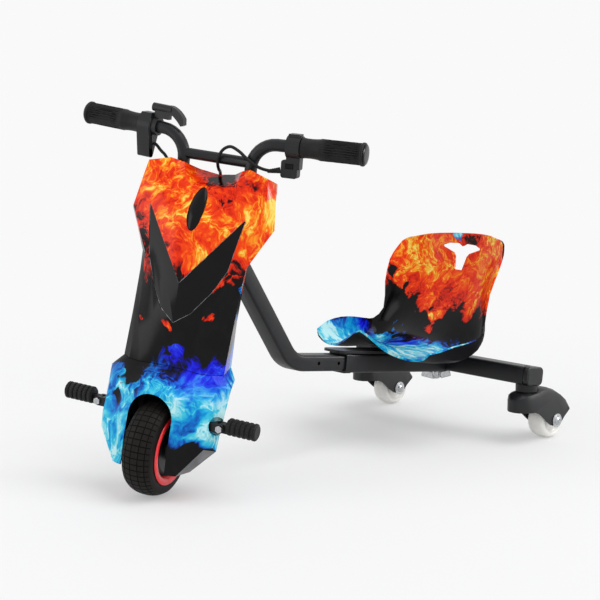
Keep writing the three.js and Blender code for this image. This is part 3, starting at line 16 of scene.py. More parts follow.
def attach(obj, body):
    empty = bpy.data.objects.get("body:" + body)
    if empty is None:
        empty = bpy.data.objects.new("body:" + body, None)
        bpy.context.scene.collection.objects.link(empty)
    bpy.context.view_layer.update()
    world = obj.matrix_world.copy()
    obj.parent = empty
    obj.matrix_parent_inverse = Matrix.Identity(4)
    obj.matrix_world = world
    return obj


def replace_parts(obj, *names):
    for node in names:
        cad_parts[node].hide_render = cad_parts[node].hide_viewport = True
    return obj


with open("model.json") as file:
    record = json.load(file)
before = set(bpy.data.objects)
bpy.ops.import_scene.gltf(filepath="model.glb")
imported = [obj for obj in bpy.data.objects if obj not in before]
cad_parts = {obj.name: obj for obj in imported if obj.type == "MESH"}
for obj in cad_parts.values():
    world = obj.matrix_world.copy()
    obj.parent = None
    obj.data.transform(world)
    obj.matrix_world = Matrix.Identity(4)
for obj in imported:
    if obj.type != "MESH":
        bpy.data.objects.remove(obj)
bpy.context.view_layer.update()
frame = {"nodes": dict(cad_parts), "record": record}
bodies = frame["record"]["behaviour"]["bodies"]
body_of_node = {node: body for body, nodes in bodies.items() for node in nodes}

# %% [markdown]
# ## Two coordinate frames
# The whole front end is drawn as if the bars pointed straight ahead, and then turned about the raked
# steering axis. Measures along the fork stay simple that way. One matrix carries a point from the
# straight-ahead drawing to its place in the photograph's pose.

# %% Coordinate frames
MM = 0.001
ROW_OFFSET = Vector((-6.252335, -390.824842, 0)) * MM
AXLE_HEIGHT = 84.977 * MM
RAKE = math.radians(17)
TURN = math.radians(25)
hub_height = Matrix.Translation((0, 0, AXLE_HEIGHT))
steering_axis = Vector((0, math.sin(RAKE), math.cos(RAKE)))
row_frame = Matrix.Translation(ROW_OFFSET)
front_frame = row_frame @ hub_height @ Matrix.Rotation(TURN, 4, steering_axis) @ hub_height.inverted()
print("front hub at", [round(v, 4) for v in front_frame @ Vector((0, 0, AXLE_HEIGHT))])

# %% [markdown]
# ## The camera
# A product photographer stands far back with a long lens, so that parallel edges stay nearly
# parallel. Ours stands about 2.7 metres off, a little above the bars, in front of the rider's left.

# %% Camera
LENS = 87.46
SENSOR_WIDTH = 36
CAMERA_PLACE = (1.940149, -1.905225, 0.7156)
CAMERA_AZIMUTH = math.radians(46.37)
CAMERA_ELEVATION = math.radians(8.68)


def placed(name, data):
    """A new object in the scene for a camera, lamp, mesh or curve."""
    made = bpy.data.objects.new(name, data)
    bpy.context.scene.collection.objects.link(made)
    return made


def aim(made, way):
    """Turns a camera or a lamp to look along a direction."""
    made.rotation_mode = "QUATERNION"
    made.rotation_quaternion = way.to_track_quat("-Z", "Y")


camera_data = bpy.data.cameras.new("studio_camera")
camera_data.sensor_width = SENSOR_WIDTH
camera_data.lens = LENS
camera = placed("studio_camera", camera_data)
camera.location = CAMERA_PLACE
away = Vector((
    math.sin(CAMERA_AZIMUTH) * math.cos(CAMERA_ELEVATION),
    -math.cos(CAMERA_AZIMUTH) * math.cos(CAMERA_ELEVATION),
    math.sin(CAMERA_ELEVATION),
))
aim(camera, -away)
bpy.context.scene.camera = camera
bpy.context.scene.view_settings.view_transform = "Standard"
print("camera at", [round(v, 3) for v in camera.location])

# %% [markdown]
# ## Writing materials
# Colours are easiest to judge as the hex values of a picture, but the renderer works with linear
# light, so one function converts them. Another turns the real size of a grain, in millimetres, into
# the scale of a noise texture. `put` adds a shader node with its settings and links, and every
# material below is written with it. Where a node is given as a value, its first output is meant.

# %% Colour and node helpers
def linear(colour):
    """An sRGB hex colour as linear red, green, blue and alpha."""
    channels = [int(colour[i:i + 2], 16) / 255 for i in (1, 3, 5)]
    return [c / 12.92 if c < 0.04045 else ((c + 0.055) / 1.055) ** 2.4 for c in channels] + [1]


def cells(size):
    """The noise scale whose cells are size millimetres wide, to two figures."""
    return float(f"{1 / (size * MM):.2g}")


def feed(node, feeds):
    """Gives sockets of a node a value each, or a link from another node."""
    for socket, value in feeds.items():
        value = value.outputs[0] if isinstance(value, bpy.types.Node) else value
        if isinstance(value, bpy.types.NodeSocket):
            node.id_data.links.new(value, node.inputs[socket])
        else:
            node.inputs[socket].default_value = value


def put(tree, kind, feeds={}, stops=(), **options):
    """Adds a node, sets its options and colour stops, and feeds its sockets."""
    made = tree.nodes.new("ShaderNode" + kind)
    for option, value in options.items():
        setattr(made, option, value)
    feed(made, feeds)
    if stops:
        bar = made.color_ramp.elements
        while len(bar) < len(stops):
            bar.new(1)
        for element, (position, colour) in zip(bar, stops):
            element.position = position
            element.color = linear(colour)
    return made


def finish(name):
    """A new material, its tree, its object coordinates and its shader, ready to be fed."""
    made = bpy.data.materials.new(name)
    made.use_nodes = True
    tree = made.node_tree
    return made, tree, put(tree, "TexCoord").outputs["Object"], tree.nodes["Principled BSDF"]


print("orange in linear light:", [round(c, 3) for c in linear("#FF4A1A")])
print("noise scale for a grain of 1.5 mm:", cells(1.5))

# %% [markdown]
# ## The studio floor
# The floor is plain and nearly white, and it runs on behind the trike without a horizon. Near the
# trike two thirds of it are lit as any surface is, so that it catches pale, soft shadows. Farther
# out it passes into the even white of the backdrop, but only for what the camera sees, straight or
# by way of a mirror, so that the floor adds no light of its own.

# %% Floor
BACKDROP = linear("#F9F9F9")
FLOOR_RADIUS = 40


def camera_sees(tree):
    """1 for what the camera sees, also in a mirror or through glass, and 0 for all other light."""
    rays = put(tree, "LightPath").outputs
    seen = put(tree, "Math", {0: rays["Is Camera Ray"], 1: rays["Is Glossy Ray"]}, operation="MAXIMUM")
    return put(tree, "Math", {0: seen, 1: rays["Is Transmission Ray"]}, operation="MAXIMUM")


paper, tree, place, shader = finish("seamless_paper")
reach = put(tree, "VectorMath", {0: place}, operation="LENGTH").outputs["Value"]
fade = put(tree, "MapRange", {0: reach, 1: 0.5, 2: 1.8, 3: 0.35, 4: 1}, interpolation_type="SMOOTHSTEP")
share = put(tree, "Math", {0: camera_sees(tree), 1: fade}, operation="MULTIPLY")
fibre = put(tree, "TexNoise", {"Vector": place, "Scale": cells(1.11), "Detail": 3})
tone = put(tree, "ValToRGB", {0: fibre}, stops=[(0.3, "#F0F0F0"), (0.7, "#F6F6F5")])
feed(shader, {"Base Color": tone, "Roughness": 0.8, "Specular IOR Level": 0.2})
glow = put(tree, "Emission", {"Color": BACKDROP, "Strength": 1})
feed(tree.nodes["Material Output"], {0: put(tree, "MixShader", {0: share, 1: shader, 2: glow})})

floor_shape = bmesh.new()
bmesh.ops.create_circle(floor_shape, cap_ends=True, segments=64, radius=FLOOR_RADIUS)
floor_mesh = bpy.data.meshes.new("studio_floor")
floor_shape.to_mesh(floor_mesh)
floor_shape.free()
floor_mesh.materials.append(paper)
floor = placed("studio_floor", floor_mesh)
print("floor radius:", FLOOR_RADIUS, "m")

# %% [markdown]
# ## The studio walls
# Light that has bounced about a white studio comes from everywhere. The world gives it, a touch
# cooler than white and at under two thirds of full strength, while the camera sees the backdrop.

# %% World
world = bpy.data.worlds.new("studio_world")
bpy.context.scene.world = world
world.use_nodes = True
tree = world.node_tree
bounced = put(tree, "Background", {"Color": linear("#FAFBFD"), "Strength": 0.62})
backdrop = put(tree, "Background", {"Color": BACKDROP, "Strength": 1})
mixed = put(tree, "MixShader", {0: camera_sees(tree), 1: bounced, 2: backdrop})
feed(tree.nodes["World Output"], {0: mixed})
print("world nodes:", len(tree.nodes))

# %% [markdown]
# ## Soft light
# A wide silk overhead is the main light. It is so far off and so broad that it lights the whole
# floor alike and leaves only soft shadows, so a sun lamp with a wide angle stands for it. Two soft
# boxes at the sides draw long reflections on the gloss black and brighten the side faces. A strip at
# the right is seen in reflections only, and bleaches the flank of the shell as in the photograph.

# %% Lights
TARGET = Vector((0, 0, 0.3))
SIDEWAYS = Vector((math.cos(CAMERA_AZIMUTH), math.sin(CAMERA_AZIMUTH), 0))
TOWARD = Vector((math.sin(CAMERA_AZIMUTH), -math.cos(CAMERA_AZIMUTH), 0))


def lamp(name, kind, right, near, up, power, **shape):
    """A white lamp, so many metres right of, nearer than and above the trike, and aimed at it."""
    light = bpy.data.lights.new(name, kind)
    light.energy = power
    for setting, value in shape.items():
        setattr(light, setting, value)
    made = placed(name, light)
    made.location = TARGET + SIDEWAYS * right + TOWARD * near + Vector((0, 0, up))
    aim(made, TARGET - made.location)
    return made


lamp("overhead_silk", "SUN", 1.3, 0.7, 3, 1.25, angle=math.radians(44))
lamp("left_box", "AREA", -2.4, 0.8, 0.7, 11, shape="RECTANGLE", size=1.1, size_y=1.7)
lamp("right_box", "AREA", 2.4, 1.0, 0.8, 10, shape="RECTANGLE", size=0.6, size_y=1.7)
strip = lamp("right_strip", "AREA", 2.6, 0.02, 0.56, 30, shape="RECTANGLE", size=1.1, size_y=0.55)
strip.visible_diffuse = False
print("lamps:", len(bpy.data.lights))

# %% [markdown]
# ## Pieces
# Each piece is drawn where it is simple to draw, and its own matrix carries it to its place on the
# trike. Its curved faces are shaded smooth, and its sharp edges stay sharp. It rides on one body of
# the trike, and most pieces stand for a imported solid, which they hide.

# %% Pieces
def settle(made, body, slot_name):
    """Says which body a piece rides on. slot_name is not used."""
    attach(made, body)
    return made


def stands_for(made, node):
    """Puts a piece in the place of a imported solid, which it hides."""
    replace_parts(settle(made, body_of_node[node], node), node)
    return made


def shade(shape, crease):
    """Shades a shape smooth, apart from the edges that bend more than crease degrees."""
    for face in shape.faces:
        face.smooth = True
    for edge in shape.edges:
        if len(edge.link_faces) == 2:
            edge.smooth = edge.calc_face_angle(0) < math.radians(crease)


def piece(name, shape, finishes, place, crease=35):
    """A new object from a bmesh that is drawn in place's coordinates."""
    bmesh.ops.recalc_face_normals(shape, faces=shape.faces)
    shade(shape, crease)
    mesh = bpy.data.meshes.new(name)
    shape.to_mesh(mesh)
    shape.free()
    for one in finishes:
        mesh.materials.append(one)
    made = placed(name, mesh)
    made.matrix_world = place
    return made


# %% [markdown]
# ## Turned pieces
# Wheels, grips, washers and bolt heads are round, so each is drawn as an outline that turns about an
# axis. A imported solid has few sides; the piece that stands for it gets enough to look round, and an
# optional rule pushes points in or out, which cuts tread into a tyre or ribs into a grip.

# %% Turning
SAME_POINT = 0.001


def turned(outline, sides, closed=False, relief=None):
    """A shape from (radius, distance) points in millimetres, turned about the X axis."""
    shape = bmesh.new()
    rings = []
    for radius, along in outline:
        ring = []
        for k in range(sides):
            angle = math.tau * k / sides
            reach = radius - (relief(radius, along, k) if relief else 0)
            point = (along * MM, reach * math.cos(angle) * MM, reach * math.sin(angle) * MM)
            ring.append(shape.verts.new(point))
        rings.append(ring)
    pairs = list(zip(rings, rings[1:]))
    if closed:
        pairs.append((rings[-1], rings[0]))
    for one, other in pairs:
        for k in range(sides):
            n = (k + 1) % sides
            shape.faces.new((one[k], one[n], other[n], other[k]))
    bmesh.ops.remove_doubles(shape, verts=shape.verts, dist=SAME_POINT * MM)
    return shape


def at(x, y, z):
    """A shift by millimetres."""
    return Matrix.Translation(Vector((x, y, z)) * MM)


band = turned([(5, 0), (5, 2)], 8)
print("points of a turned band with 8 sides:", len(band.verts))
band.free()

# %% [markdown]
# ## Satin black powder coat
# The tubes are steel, coated with powder that melts into a satin skin. Up close that skin has a fine
# orange peel of about 1.5 mm, and it is a little glossier in some patches than in others.

# %% Powder coat
powder_coat, tree, place, shader = finish("satin_black_powder_coat")
patches = put(tree, "TexNoise", {"Vector": place, "Scale": cells(55), "Detail": 3})
peel = put(tree, "TexNoise", {"Vector": place, "Scale": cells(1.54), "Detail": 2})
tone = put(tree, "ValToRGB", {0: patches}, stops=[(0.3, "#121315"), (0.7, "#1A1B1E")])
gloss = put(tree, "MapRange", {0: patches, 3: 0.34, 4: 0.44})
bump = put(tree, "Bump", {"Height": peel, "Strength": 0.12, "Distance": 0.4 * MM})
feed(shader, {"Base Color": tone, "Roughness": gloss, "Normal": bump, "Specular IOR Level": 0.3})
print(powder_coat.name)

# %% [markdown]
# ## Gloss black ABS
# The insert, the lamp cover, the rocker and the plugs in the grips are injection moulded in gloss
# black ABS. The mould is polished, so only long, faint ripples disturb the reflections.

# %% Gloss ABS
gloss_abs, tree, place, shader = finish("gloss_black_abs")
ripple = put(tree, "TexNoise", {"Vector": place, "Scale": cells(45), "Detail": 1})
tone = put(tree, "ValToRGB", {0: ripple}, stops=[(0.2, "#050506"), (0.8, "#0A0A0C")])
gloss = put(tree, "MapRange", {0: ripple, 3: 0.1, 4: 0.2})
bump = put(tree, "Bump", {"Height": ripple, "Strength": 0.15, "Distance": 2 * MM})
feed(shader, {"Base Color": tone, "Roughness": gloss, "Normal": bump, "Specular IOR Level": 0.16})
print(gloss_abs.name)

# %% [markdown]
# ## Matt moulded nylon
# Hoods, caps, the throttle, the switch box and the seam flanges are moulded in black nylon with a
# spark-eroded texture, which is an even grain of under a millimetre that spreads every highlight.

# %% Nylon
moulded_nylon, tree, place, shader = finish("black_moulded_nylon")
grain = put(tree, "TexNoise", {"Vector": place, "Scale": cells(0.67), "Detail": 2})
patches = put(tree, "TexNoise", {"Vector": place, "Scale": cells(25), "Detail": 3})
tone = put(tree, "ValToRGB", {0: patches}, stops=[(0.3, "#111214"), (0.7, "#191A1C")])
gloss = put(tree, "MapRange", {0: patches, 3: 0.32, 4: 0.44})
bump = put(tree, "Bump", {"Height": grain, "Strength": 0.2, "Distance": 0.3 * MM})
feed(shader, {"Base Color": tone, "Roughness": gloss, "Normal": bump, "Specular IOR Level": 0.35})
print(moulded_nylon.name)

# %% [markdown]
# ## Black rubber
# Grips, pegs and leads are vulcanised rubber: nearly black, with a broad dull sheen, and a little
# dusty where hands and shoes rub it. Its pores are about a millimetre wide.

# %% Rubber
grip_rubber, tree, place, shader = finish("black_grip_rubber")
dust = put(tree, "TexNoise", {"Vector": place, "Scale": cells(16.7), "Detail": 4, "Roughness": 0.6})
pores = put(tree, "TexNoise", {"Vector": place, "Scale": cells(0.9), "Detail": 2})
tone = put(tree, "ValToRGB", {0: dust}, stops=[(0.35, "#121212"), (0.75, "#1E1E1D")])
gloss = put(tree, "MapRange", {0: dust, 3: 0.42, 4: 0.58})
bump = put(tree, "Bump", {"Height": pores, "Strength": 0.2, "Distance": 0.3 * MM})
feed(shader, {"Base Color": tone, "Roughness": gloss, "Normal": bump, "Specular IOR Level": 0.22})
print(grip_rubber.name)

# %% [markdown]
# ## Worn tread
# Where the tyre meets the ground its skin is scuffed to a dull, slightly brown grey, in marks that
# run round the tyre. The grooves keep the fresh black of the mould, with painted shade on top of it.

# %% Tread rubber
tread_rubber, tree, place, shader = finish("scuffed_tread_rubber")
drawn_out = put(tree, "VectorMath", {0: place, 1: (1, 0.15, 0.15)}, operation="MULTIPLY")
scuffs = put(tree, "TexNoise", {"Vector": drawn_out, "Scale": cells(2.4), "Detail": 4, "Roughness": 0.6})
tone = put(tree, "ValToRGB", {0: scuffs}, stops=[(0.3, "#131110"), (0.7, "#211E1B")])
bump = put(tree, "Bump", {"Height": scuffs, "Strength": 0.3, "Distance": 0.4 * MM})
feed(shader, {"Base Color": tone, "Roughness": 0.55, "Normal": bump, "Specular IOR Level": 0.12})
# The grooves' darker black is partly painted shade.
groove_painted_shade_rubber, tree, place, shader = finish("groove_rubber_with_painted_shade")
dust = put(tree, "TexNoise", {"Vector": place, "Scale": cells(3.3), "Detail": 3})
tone = put(tree, "ValToRGB", {0: dust}, stops=[(0.4, "#070707"), (0.8, "#0E0D0C")])
feed(shader, {"Base Color": tone, "Roughness": 0.7, "Specular IOR Level": 0.1})
print(tread_rubber.name, groove_painted_shade_rubber.name)

# %% [markdown]
# ## Zinc-plated steel
# Bolts, nuts and washers are steel with a thin bright coat of zinc. It is a metal, so its colour is
# the colour of its reflection, and a faint cloudiness comes from the plating bath.

# %% Zinc
zinc_steel, tree, place, shader = finish("zinc_plated_steel")
cloud = put(tree, "TexNoise", {"Vector": place, "Scale": cells(4.5), "Detail": 3})
tone = put(tree, "ValToRGB", {0: cloud}, stops=[(0.3, "#9EA0A3"), (0.7, "#C6C8CA")])
gloss = put(tree, "MapRange", {0: cloud, 3: 0.22, 4: 0.36})
feed(shader, {"Base Color": tone, "Roughness": gloss, "Metallic": 1})
print(zinc_steel.name)

# %% [markdown]
# ## Raw back of a moulding
# The backs of the seat and of the shell are the raw side of the ABS mouldings. They were never
# polished, so they are dull and show a fine grain of about 1.5 mm instead of a reflection.

# %% Raw back
raw_back, tree, place, shader = finish("raw_black_abs_back")
grain = put(tree, "TexNoise", {"Vector": place, "Scale": cells(1.43), "Detail": 3})
tone = put(tree, "ValToRGB", {0: grain}, stops=[(0.35, "#101012"), (0.65, "#17171A")])
bump = put(tree, "Bump", {"Height": grain, "Strength": 0.3, "Distance": 0.2 * MM})
feed(shader, {"Base Color": tone, "Roughness": 0.5, "Normal": bump, "Specular IOR Level": 0.03})
print(raw_back.name)

# %% [markdown]
# ## Painted highlight on the seam, painted reflection on the bevel
# The rim of the gloss insert is a fine bead, a hair wide. Its plastic is coloured pale grey in patches
# as a painted highlight, for the pale line that light draws along the rim. The bevel under the fender
# has no print, only clear lacquer that mirrors the pale floor, over a grey that is painted reflection.

# %% Seam and bevel
# The seam's pale grey patches are a painted highlight.
seam_painted_highlight, tree, place, shader = finish("seam_plastic_painted_highlight")
highlight_patches = put(tree, "TexNoise", {"Vector": place, "Scale": cells(14.3), "Detail": 3})
tone = put(tree, "ValToRGB", {0: highlight_patches}, stops=[(0.42, "#2C2C2E"), (0.62, "#A4A5A8")])
feed(shader, {"Base Color": tone, "Roughness": 0.3})
# The bevel's grey base colour is a painted reflection of the floor, under the lacquer's real one.
bevel_painted_reflection, tree, place, shader = finish("lacquered_abs_painted_reflection")
reflection_patches = put(tree, "TexNoise", {"Vector": place, "Scale": cells(33), "Detail": 2})
tone = put(tree, "ValToRGB", {0: reflection_patches}, stops=[(0.35, "#505052"), (0.65, "#727275")])
feed(shader, {"Base Color": tone, "Roughness": 0.12, "Specular IOR Level": 0.9})
print(seam_painted_highlight.name, bevel_painted_reflection.name)

# %% [markdown]
# ## White polyurethane
# The caster wheels are cast polyurethane on a hard core. The tread is milky and lets a little light
# into its skin, and the floor has only just begun to scuff it.

# %% Polyurethane
white_urethane, tree, place, shader = finish("white_cast_polyurethane")
scuff = put(tree, "TexNoise", {"Vector": place, "Scale": cells(8.3), "Detail": 5, "Roughness": 0.65})
tone = put(tree, "ValToRGB", {0: scuff}, stops=[(0.3, "#F0EEE9"), (0.6, "#F6F4EF")])
bump = put(tree, "Bump", {"Height": scuff, "Strength": 0.15, "Distance": 0.3 * MM})
feed(shader, {"Base Color": tone, "Roughness": 0.3, "Normal": bump, "Subsurface Weight": 0.15,
              "Subsurface Radius": (3 * MM, 3 * MM, 2.5 * MM)})
print(white_urethane.name)

# %% [markdown]
# ## Red enamel
# The front rim is a steel pressing with a coat of bright red enamel, glossy and slightly uneven.

# %% Enamel
red_enamel, tree, place, shader = finish("red_gloss_enamel")
flow = put(tree, "TexNoise", {"Vector": place, "Scale": cells(28.5), "Detail": 2})
tone = put(tree, "ValToRGB", {0: flow}, stops=[(0.3, "#EC2026"), (0.7, "#FF3E46")])
bump = put(tree, "Bump", {"Height": flow, "Strength": 0.1, "Distance": 1 * MM})
feed(shader, {"Base Color": tone, "Roughness": 0.22, "Normal": bump})
print(red_enamel.name)

# %% [markdown]
# ## The fire and ice print
# The shell and the seat are ABS mouldings, dipped through a printed film that floats on water, and
# then lacquered. The print runs from orange flames at the top, through black smoke, to blue and
# cyan flames below. Noise that first bends the coordinates makes the flames swirl, and coordinates
# that are squeezed along the height make them longer than wide: the finest are about 11 mm by 22 in
# the fire, and 18 mm by 46 in the ice.

# %% Swirls and licks
def swirled(tree, place):
    """Coordinates bent by broad and fine noise, and the same ones bent by the fine noise alone."""
    flow = place
    for size, detail, reach in ((143, 1, 0.12), (38, 2, 0.045)):
        bend = put(tree, "TexNoise", {"Vector": place, "Scale": cells(size), "Detail": detail})
        bend = put(tree, "VectorMath", {0: bend.outputs["Color"], 1: (0.5, 0.5, 0.5)}, operation="SUBTRACT")
        bend = put(tree, "VectorMath", {0: bend, "Scale": reach}, operation="SCALE")
        flow = put(tree, "VectorMath", {0: flow, 1: bend}, operation="ADD")
    return flow, put(tree, "VectorMath", {0: place, 1: bend}, operation="ADD")


def licks(tree, flow, fine, long, body_share, streak_share, vein_share):
    """A heat of about 0 to 1 from broad bodies, fine streaks and bright veins, and the streaks."""
    drawn = put(tree, "VectorMath", {0: flow, 1: (fine, fine, fine * long)}, operation="MULTIPLY")
    streak = put(tree, "TexNoise", {"Vector": drawn, "Scale": cells(11.1), "Detail": 5, "Roughness": 0.6,
                                    "Distortion": 0.4})
    vein = put(tree, "TexNoise", {"Vector": drawn, "Scale": cells(22.5), "Detail": 4, "Distortion": 0.8})
    body = put(tree, "TexNoise", {"Vector": flow, "Scale": cells(62) * fine, "Detail": 3})
    vein = put(tree, "Math", {0: vein, 1: 0.5}, operation="SUBTRACT")
    vein = put(tree, "Math", {0: vein}, operation="ABSOLUTE")
    vein = put(tree, "MapRange", {0: vein, 1: 0, 2: 0.045, 3: vein_share, 4: 0})
    even = 0.45 - (body_share + streak_share) / 2
    heat = put(tree, "Math", {0: body, 1: body_share, 2: even}, operation="MULTIPLY_ADD")
    heat = put(tree, "Math", {0: streak, 1: streak_share, 2: heat}, operation="MULTIPLY_ADD")
    lit = put(tree, "Math", {0: body, 1: vein}, operation="MULTIPLY")
    return put(tree, "Math", {0: heat, 1: lit}, operation="ADD"), streak


print("width of the finest licks of ice:", round(11.1 / 0.6, 1), "mm")

# %% [markdown]
# ## Fields and touches
# Five fields steer the print: how far up the fire and the ice lie, how hot each is, and how royal
# the blue. Noise of its own pushes the heights up and down, so that tongues hang out of one band into
# the next. A few touches then raise or lower a field near a point, for a stray tongue, a
# patch of smoke, a paler swirl or a spot where the ice turns to royal blue.

# %% Fields
FIRE, ICE, FIRE_HEAT, ICE_HEAT, ROYAL = range(5)
FRAY = 0.07


def print_fields(tree, place, shift, fire_along, ice_along, hang, touches):
    """The five fields with their touches, and the fine streaks."""
    moved = put(tree, "VectorMath", {0: place, 1: shift}, operation="ADD")
    flow, near = swirled(tree, moved)
    fire_heat, streak = licks(tree, flow, 1, 0.5, 1.1, 1.5, 0.46)
    ice_heat, streak = licks(tree, flow, 0.6, 0.4, 1.8, 1.6, 0.32)
    fall = put(tree, "VectorMath", {0: moved, 1: (1, 1, 0.2)}, operation="MULTIPLY")
    fall = put(tree, "TexNoise", {"Vector": fall, "Scale": cells(42), "Detail": 2})
    fray = put(tree, "Math", {0: streak, 1: FRAY, 2: -(FRAY + hang) / 2}, operation="MULTIPLY_ADD")
    fray = put(tree, "Math", {0: fall, 1: hang, 2: fray}, operation="MULTIPLY_ADD")
    fields = []
    for along in (fire_along, ice_along):
        height = put(tree, "VectorMath", {0: place, 1: along}, operation="DOT_PRODUCT").outputs["Value"]
        fields.append(put(tree, "Math", {0: height, 1: fray}, operation="ADD"))
    fields += [fire_heat, ice_heat, put(tree, "Value")]
    for field, middle, reach, lift in touches:
        middle = Vector(middle) * MM + shift
        distance = put(tree, "VectorMath", {0: near, 1: middle}, operation="DISTANCE").outputs["Value"]
        push = put(tree, "MapRange", {0: distance, 1: reach * MM, 2: 0, 3: 0, 4: lift},
                   interpolation_type="SMOOTHSTEP")
        fields[field] = put(tree, "Math", {0: fields[field], 1: push}, operation="ADD")
    return fields, streak


print("fields:", ROYAL + 1)

# %% [markdown]
# ## From fields to colours
# Where the fire's height is over a limit there is fire, where the ice's is under another there is
# ice, and the rest is smoke. The heat picks a colour in a row of stops, from soot to pale yellow or
# from black to pale cyan. Flames close to the smoke are sootier, and ice far below it is paler. The
# clear lacquer on top is smooth, with ripples as long as the gloss plastic's.

# %% Fire and ice
HALF_EDGE = 3 * MM
SOOTY_OVER = 45 * MM
PALE_UNDER = 100 * MM
FIRE_STOPS = [(0.02, "#0C0202"), (0.1, "#7C1004"), (0.2, "#D42206"), (0.38, "#F0320A"), (0.54, "#FA4C0C"),
              (0.66, "#FF7C18"), (0.79, "#FFB028"), (0.95, "#FFE068")]
CYAN_STOPS = [(0.08, "#020308"), (0.17, "#041438"), (0.28, "#06409C"), (0.4, "#0670CC"), (0.54, "#0EA0DC"),
              (0.7, "#44CAE2"), (0.9, "#C0F0F4")]
ROYAL_STOPS = [(0.06, "#030210"), (0.16, "#0A0A70"), (0.3, "#1414DC"), (0.5, "#2438EC"), (0.75, "#3C8CF0")]
SMOKE_STOPS = [(0.4, "#050506"), (0.75, "#0F0F11")]


def flame_print(name, fire_along, fire_from, ice_along, ice_from, seed, hang, touches):
    """Print with fire above fire_from along one direction and ice below ice_from along another."""
    made, tree, place, shader = finish(name)
    shift = Vector((seed, seed * 0.7, seed * 0.3))
    fields, streak = print_fields(tree, place, shift, fire_along, ice_along, hang, touches)
    sooty = put(tree, "MapRange", {0: fields[FIRE], 1: fire_from, 2: fire_from + SOOTY_OVER, 3: -0.3, 4: 0})
    heat = put(tree, "Math", {0: fields[FIRE_HEAT], 1: sooty}, operation="ADD")
    fire = put(tree, "ValToRGB", {0: heat}, stops=FIRE_STOPS)
    pale = put(tree, "MapRange", {0: fields[ICE], 1: ice_from, 2: ice_from - PALE_UNDER, 3: -0.2, 4: 0.2})
    heat = put(tree, "Math", {0: fields[ICE_HEAT], 1: pale}, operation="ADD")
    cyan = put(tree, "ValToRGB", {0: heat}, stops=CYAN_STOPS)
    royal = put(tree, "ValToRGB", {0: heat}, stops=ROYAL_STOPS)
    ice = put(tree, "Mix", {0: fields[ROYAL], 6: cyan, 7: royal}, data_type="RGBA").outputs[2]
    fire_here = put(tree, "MapRange", {0: fields[FIRE], 1: fire_from - HALF_EDGE, 2: fire_from + HALF_EDGE})
    ice_here = put(tree, "MapRange", {0: fields[ICE], 1: ice_from + HALF_EDGE, 2: ice_from - HALF_EDGE})
    smoke = put(tree, "ValToRGB", {0: streak}, stops=SMOKE_STOPS)
    colour = put(tree, "Mix", {0: fire_here, 6: smoke, 7: fire}, data_type="RGBA").outputs[2]
    colour = put(tree, "Mix", {0: ice_here, 6: colour, 7: ice}, data_type="RGBA").outputs[2]
    ripple = put(tree, "TexNoise", {"Vector": place, "Scale": cells(42), "Detail": 1})
    gloss = put(tree, "MapRange", {0: ripple, 3: 0.12, 4: 0.2})
    bump = put(tree, "Bump", {"Height": ripple, "Strength": 0.12, "Distance": 2 * MM})
    feed(shader, {"Base Color": colour, "Roughness": gloss, "Normal": bump, "Specular IOR Level": 0.15})
    return made


print("colour stops of the fire:", len(FIRE_STOPS))

# %% [markdown]
# ## Where the touches lie
# Each row holds the field, the middle of the touch, how far it reaches, both in millimetres, and what
# it adds at its middle. Less heat is soot, and fire or ice that is pushed down or up turns black.

# %% Touches on the shell
shell_touches = [
    (FIRE, (-12, 20, 292), 34, 0.1),         # the tongue under the point of the insert
    (FIRE, (-72, 36, 292), 16, 0.075),       # a small tongue at the left
    (FIRE, (56, 30, 318), 22, 0.06),         # licks below the right fin
    (FIRE, (92, 60, 342), 46, -0.055),       # the black below the right corner
    (FIRE, (-112, 64, 388), 54, -0.07),      # the black below the left corner
    (FIRE_HEAT, (28, 122, 542), 66, -0.75),  # smoke in the notch at the top
    (FIRE_HEAT, (40, 85, 512), 40, -0.3),
    (FIRE_HEAT, (-128, 80, 468), 28, -0.5),  # soot at the left corner
    (FIRE_HEAT, (-104, 66, 432), 44, -0.45),
    (FIRE_HEAT, (-4, 30, 380), 34, -0.5),    # soot over the point of the V
    (FIRE_HEAT, (92, 66, 396), 44, -0.45),   # soot at the foot of the right side
    (FIRE_HEAT, (-60, 90, 510), 70, 0.1),    # the brightest flames
    (FIRE_HEAT, (30, 45, 410), 45, 0.1),
    # Painted highlight: extra heat pales the flank, on top of the strip lamp's real reflection.
    (FIRE_HEAT, (134, 100, 502), 50, 0.5),   # the pale flank
    (ICE, (96, 82, 372), 26, -0.24),         # cyan flashes up the side
    (ICE, (90, 82, 318), 24, -0.14),
    (ICE, (10, 18, 264), 20, -0.05),         # a lick above the seam
    (ICE, (-96, 2, 204), 30, -0.05),         # the cyan shoulder at the left
    (ICE, (-52, -10, 202), 30, 0.03),        # black patches over the wheel
    (ICE, (-74, -22, 166), 16, 0.09),
    (ICE, (48, -2, 216), 20, 0.03),
    (ICE, (-10, -22, 196), 48, -0.05),       # the ice that reaches up over the wheel
    (ICE, (76, -20, 176), 60, -0.05),
    (ICE, (75, -40, -60), 192, 3),           # the black lower corner at the right
    (ICE_HEAT, (60, 26, 246), 60, -0.1),     # deeper blue over the seam
    (ICE_HEAT, (-10, -22, 200), 60, -0.3),   # and over the wheel
    (ICE_HEAT, (76, -20, 176), 44, -0.14),
    (ICE_HEAT, (74, -24, 130), 50, -0.22),
    (ICE_HEAT, (-84, -20, 146), 50, -0.08),
    (ICE_HEAT, (-70, -44, 86), 54, -0.4),
    (ROYAL, (60, 26, 240), 90, 1.6),
    (ROYAL, (10, 10, 262), 50, 1.4),
]
print("touches on the shell:", len(shell_touches))

# %% [markdown]
# ## Touches on the seat
# The seat has fewer: tongues that hang into the pan, holes in the flames, and the blue of its wings.

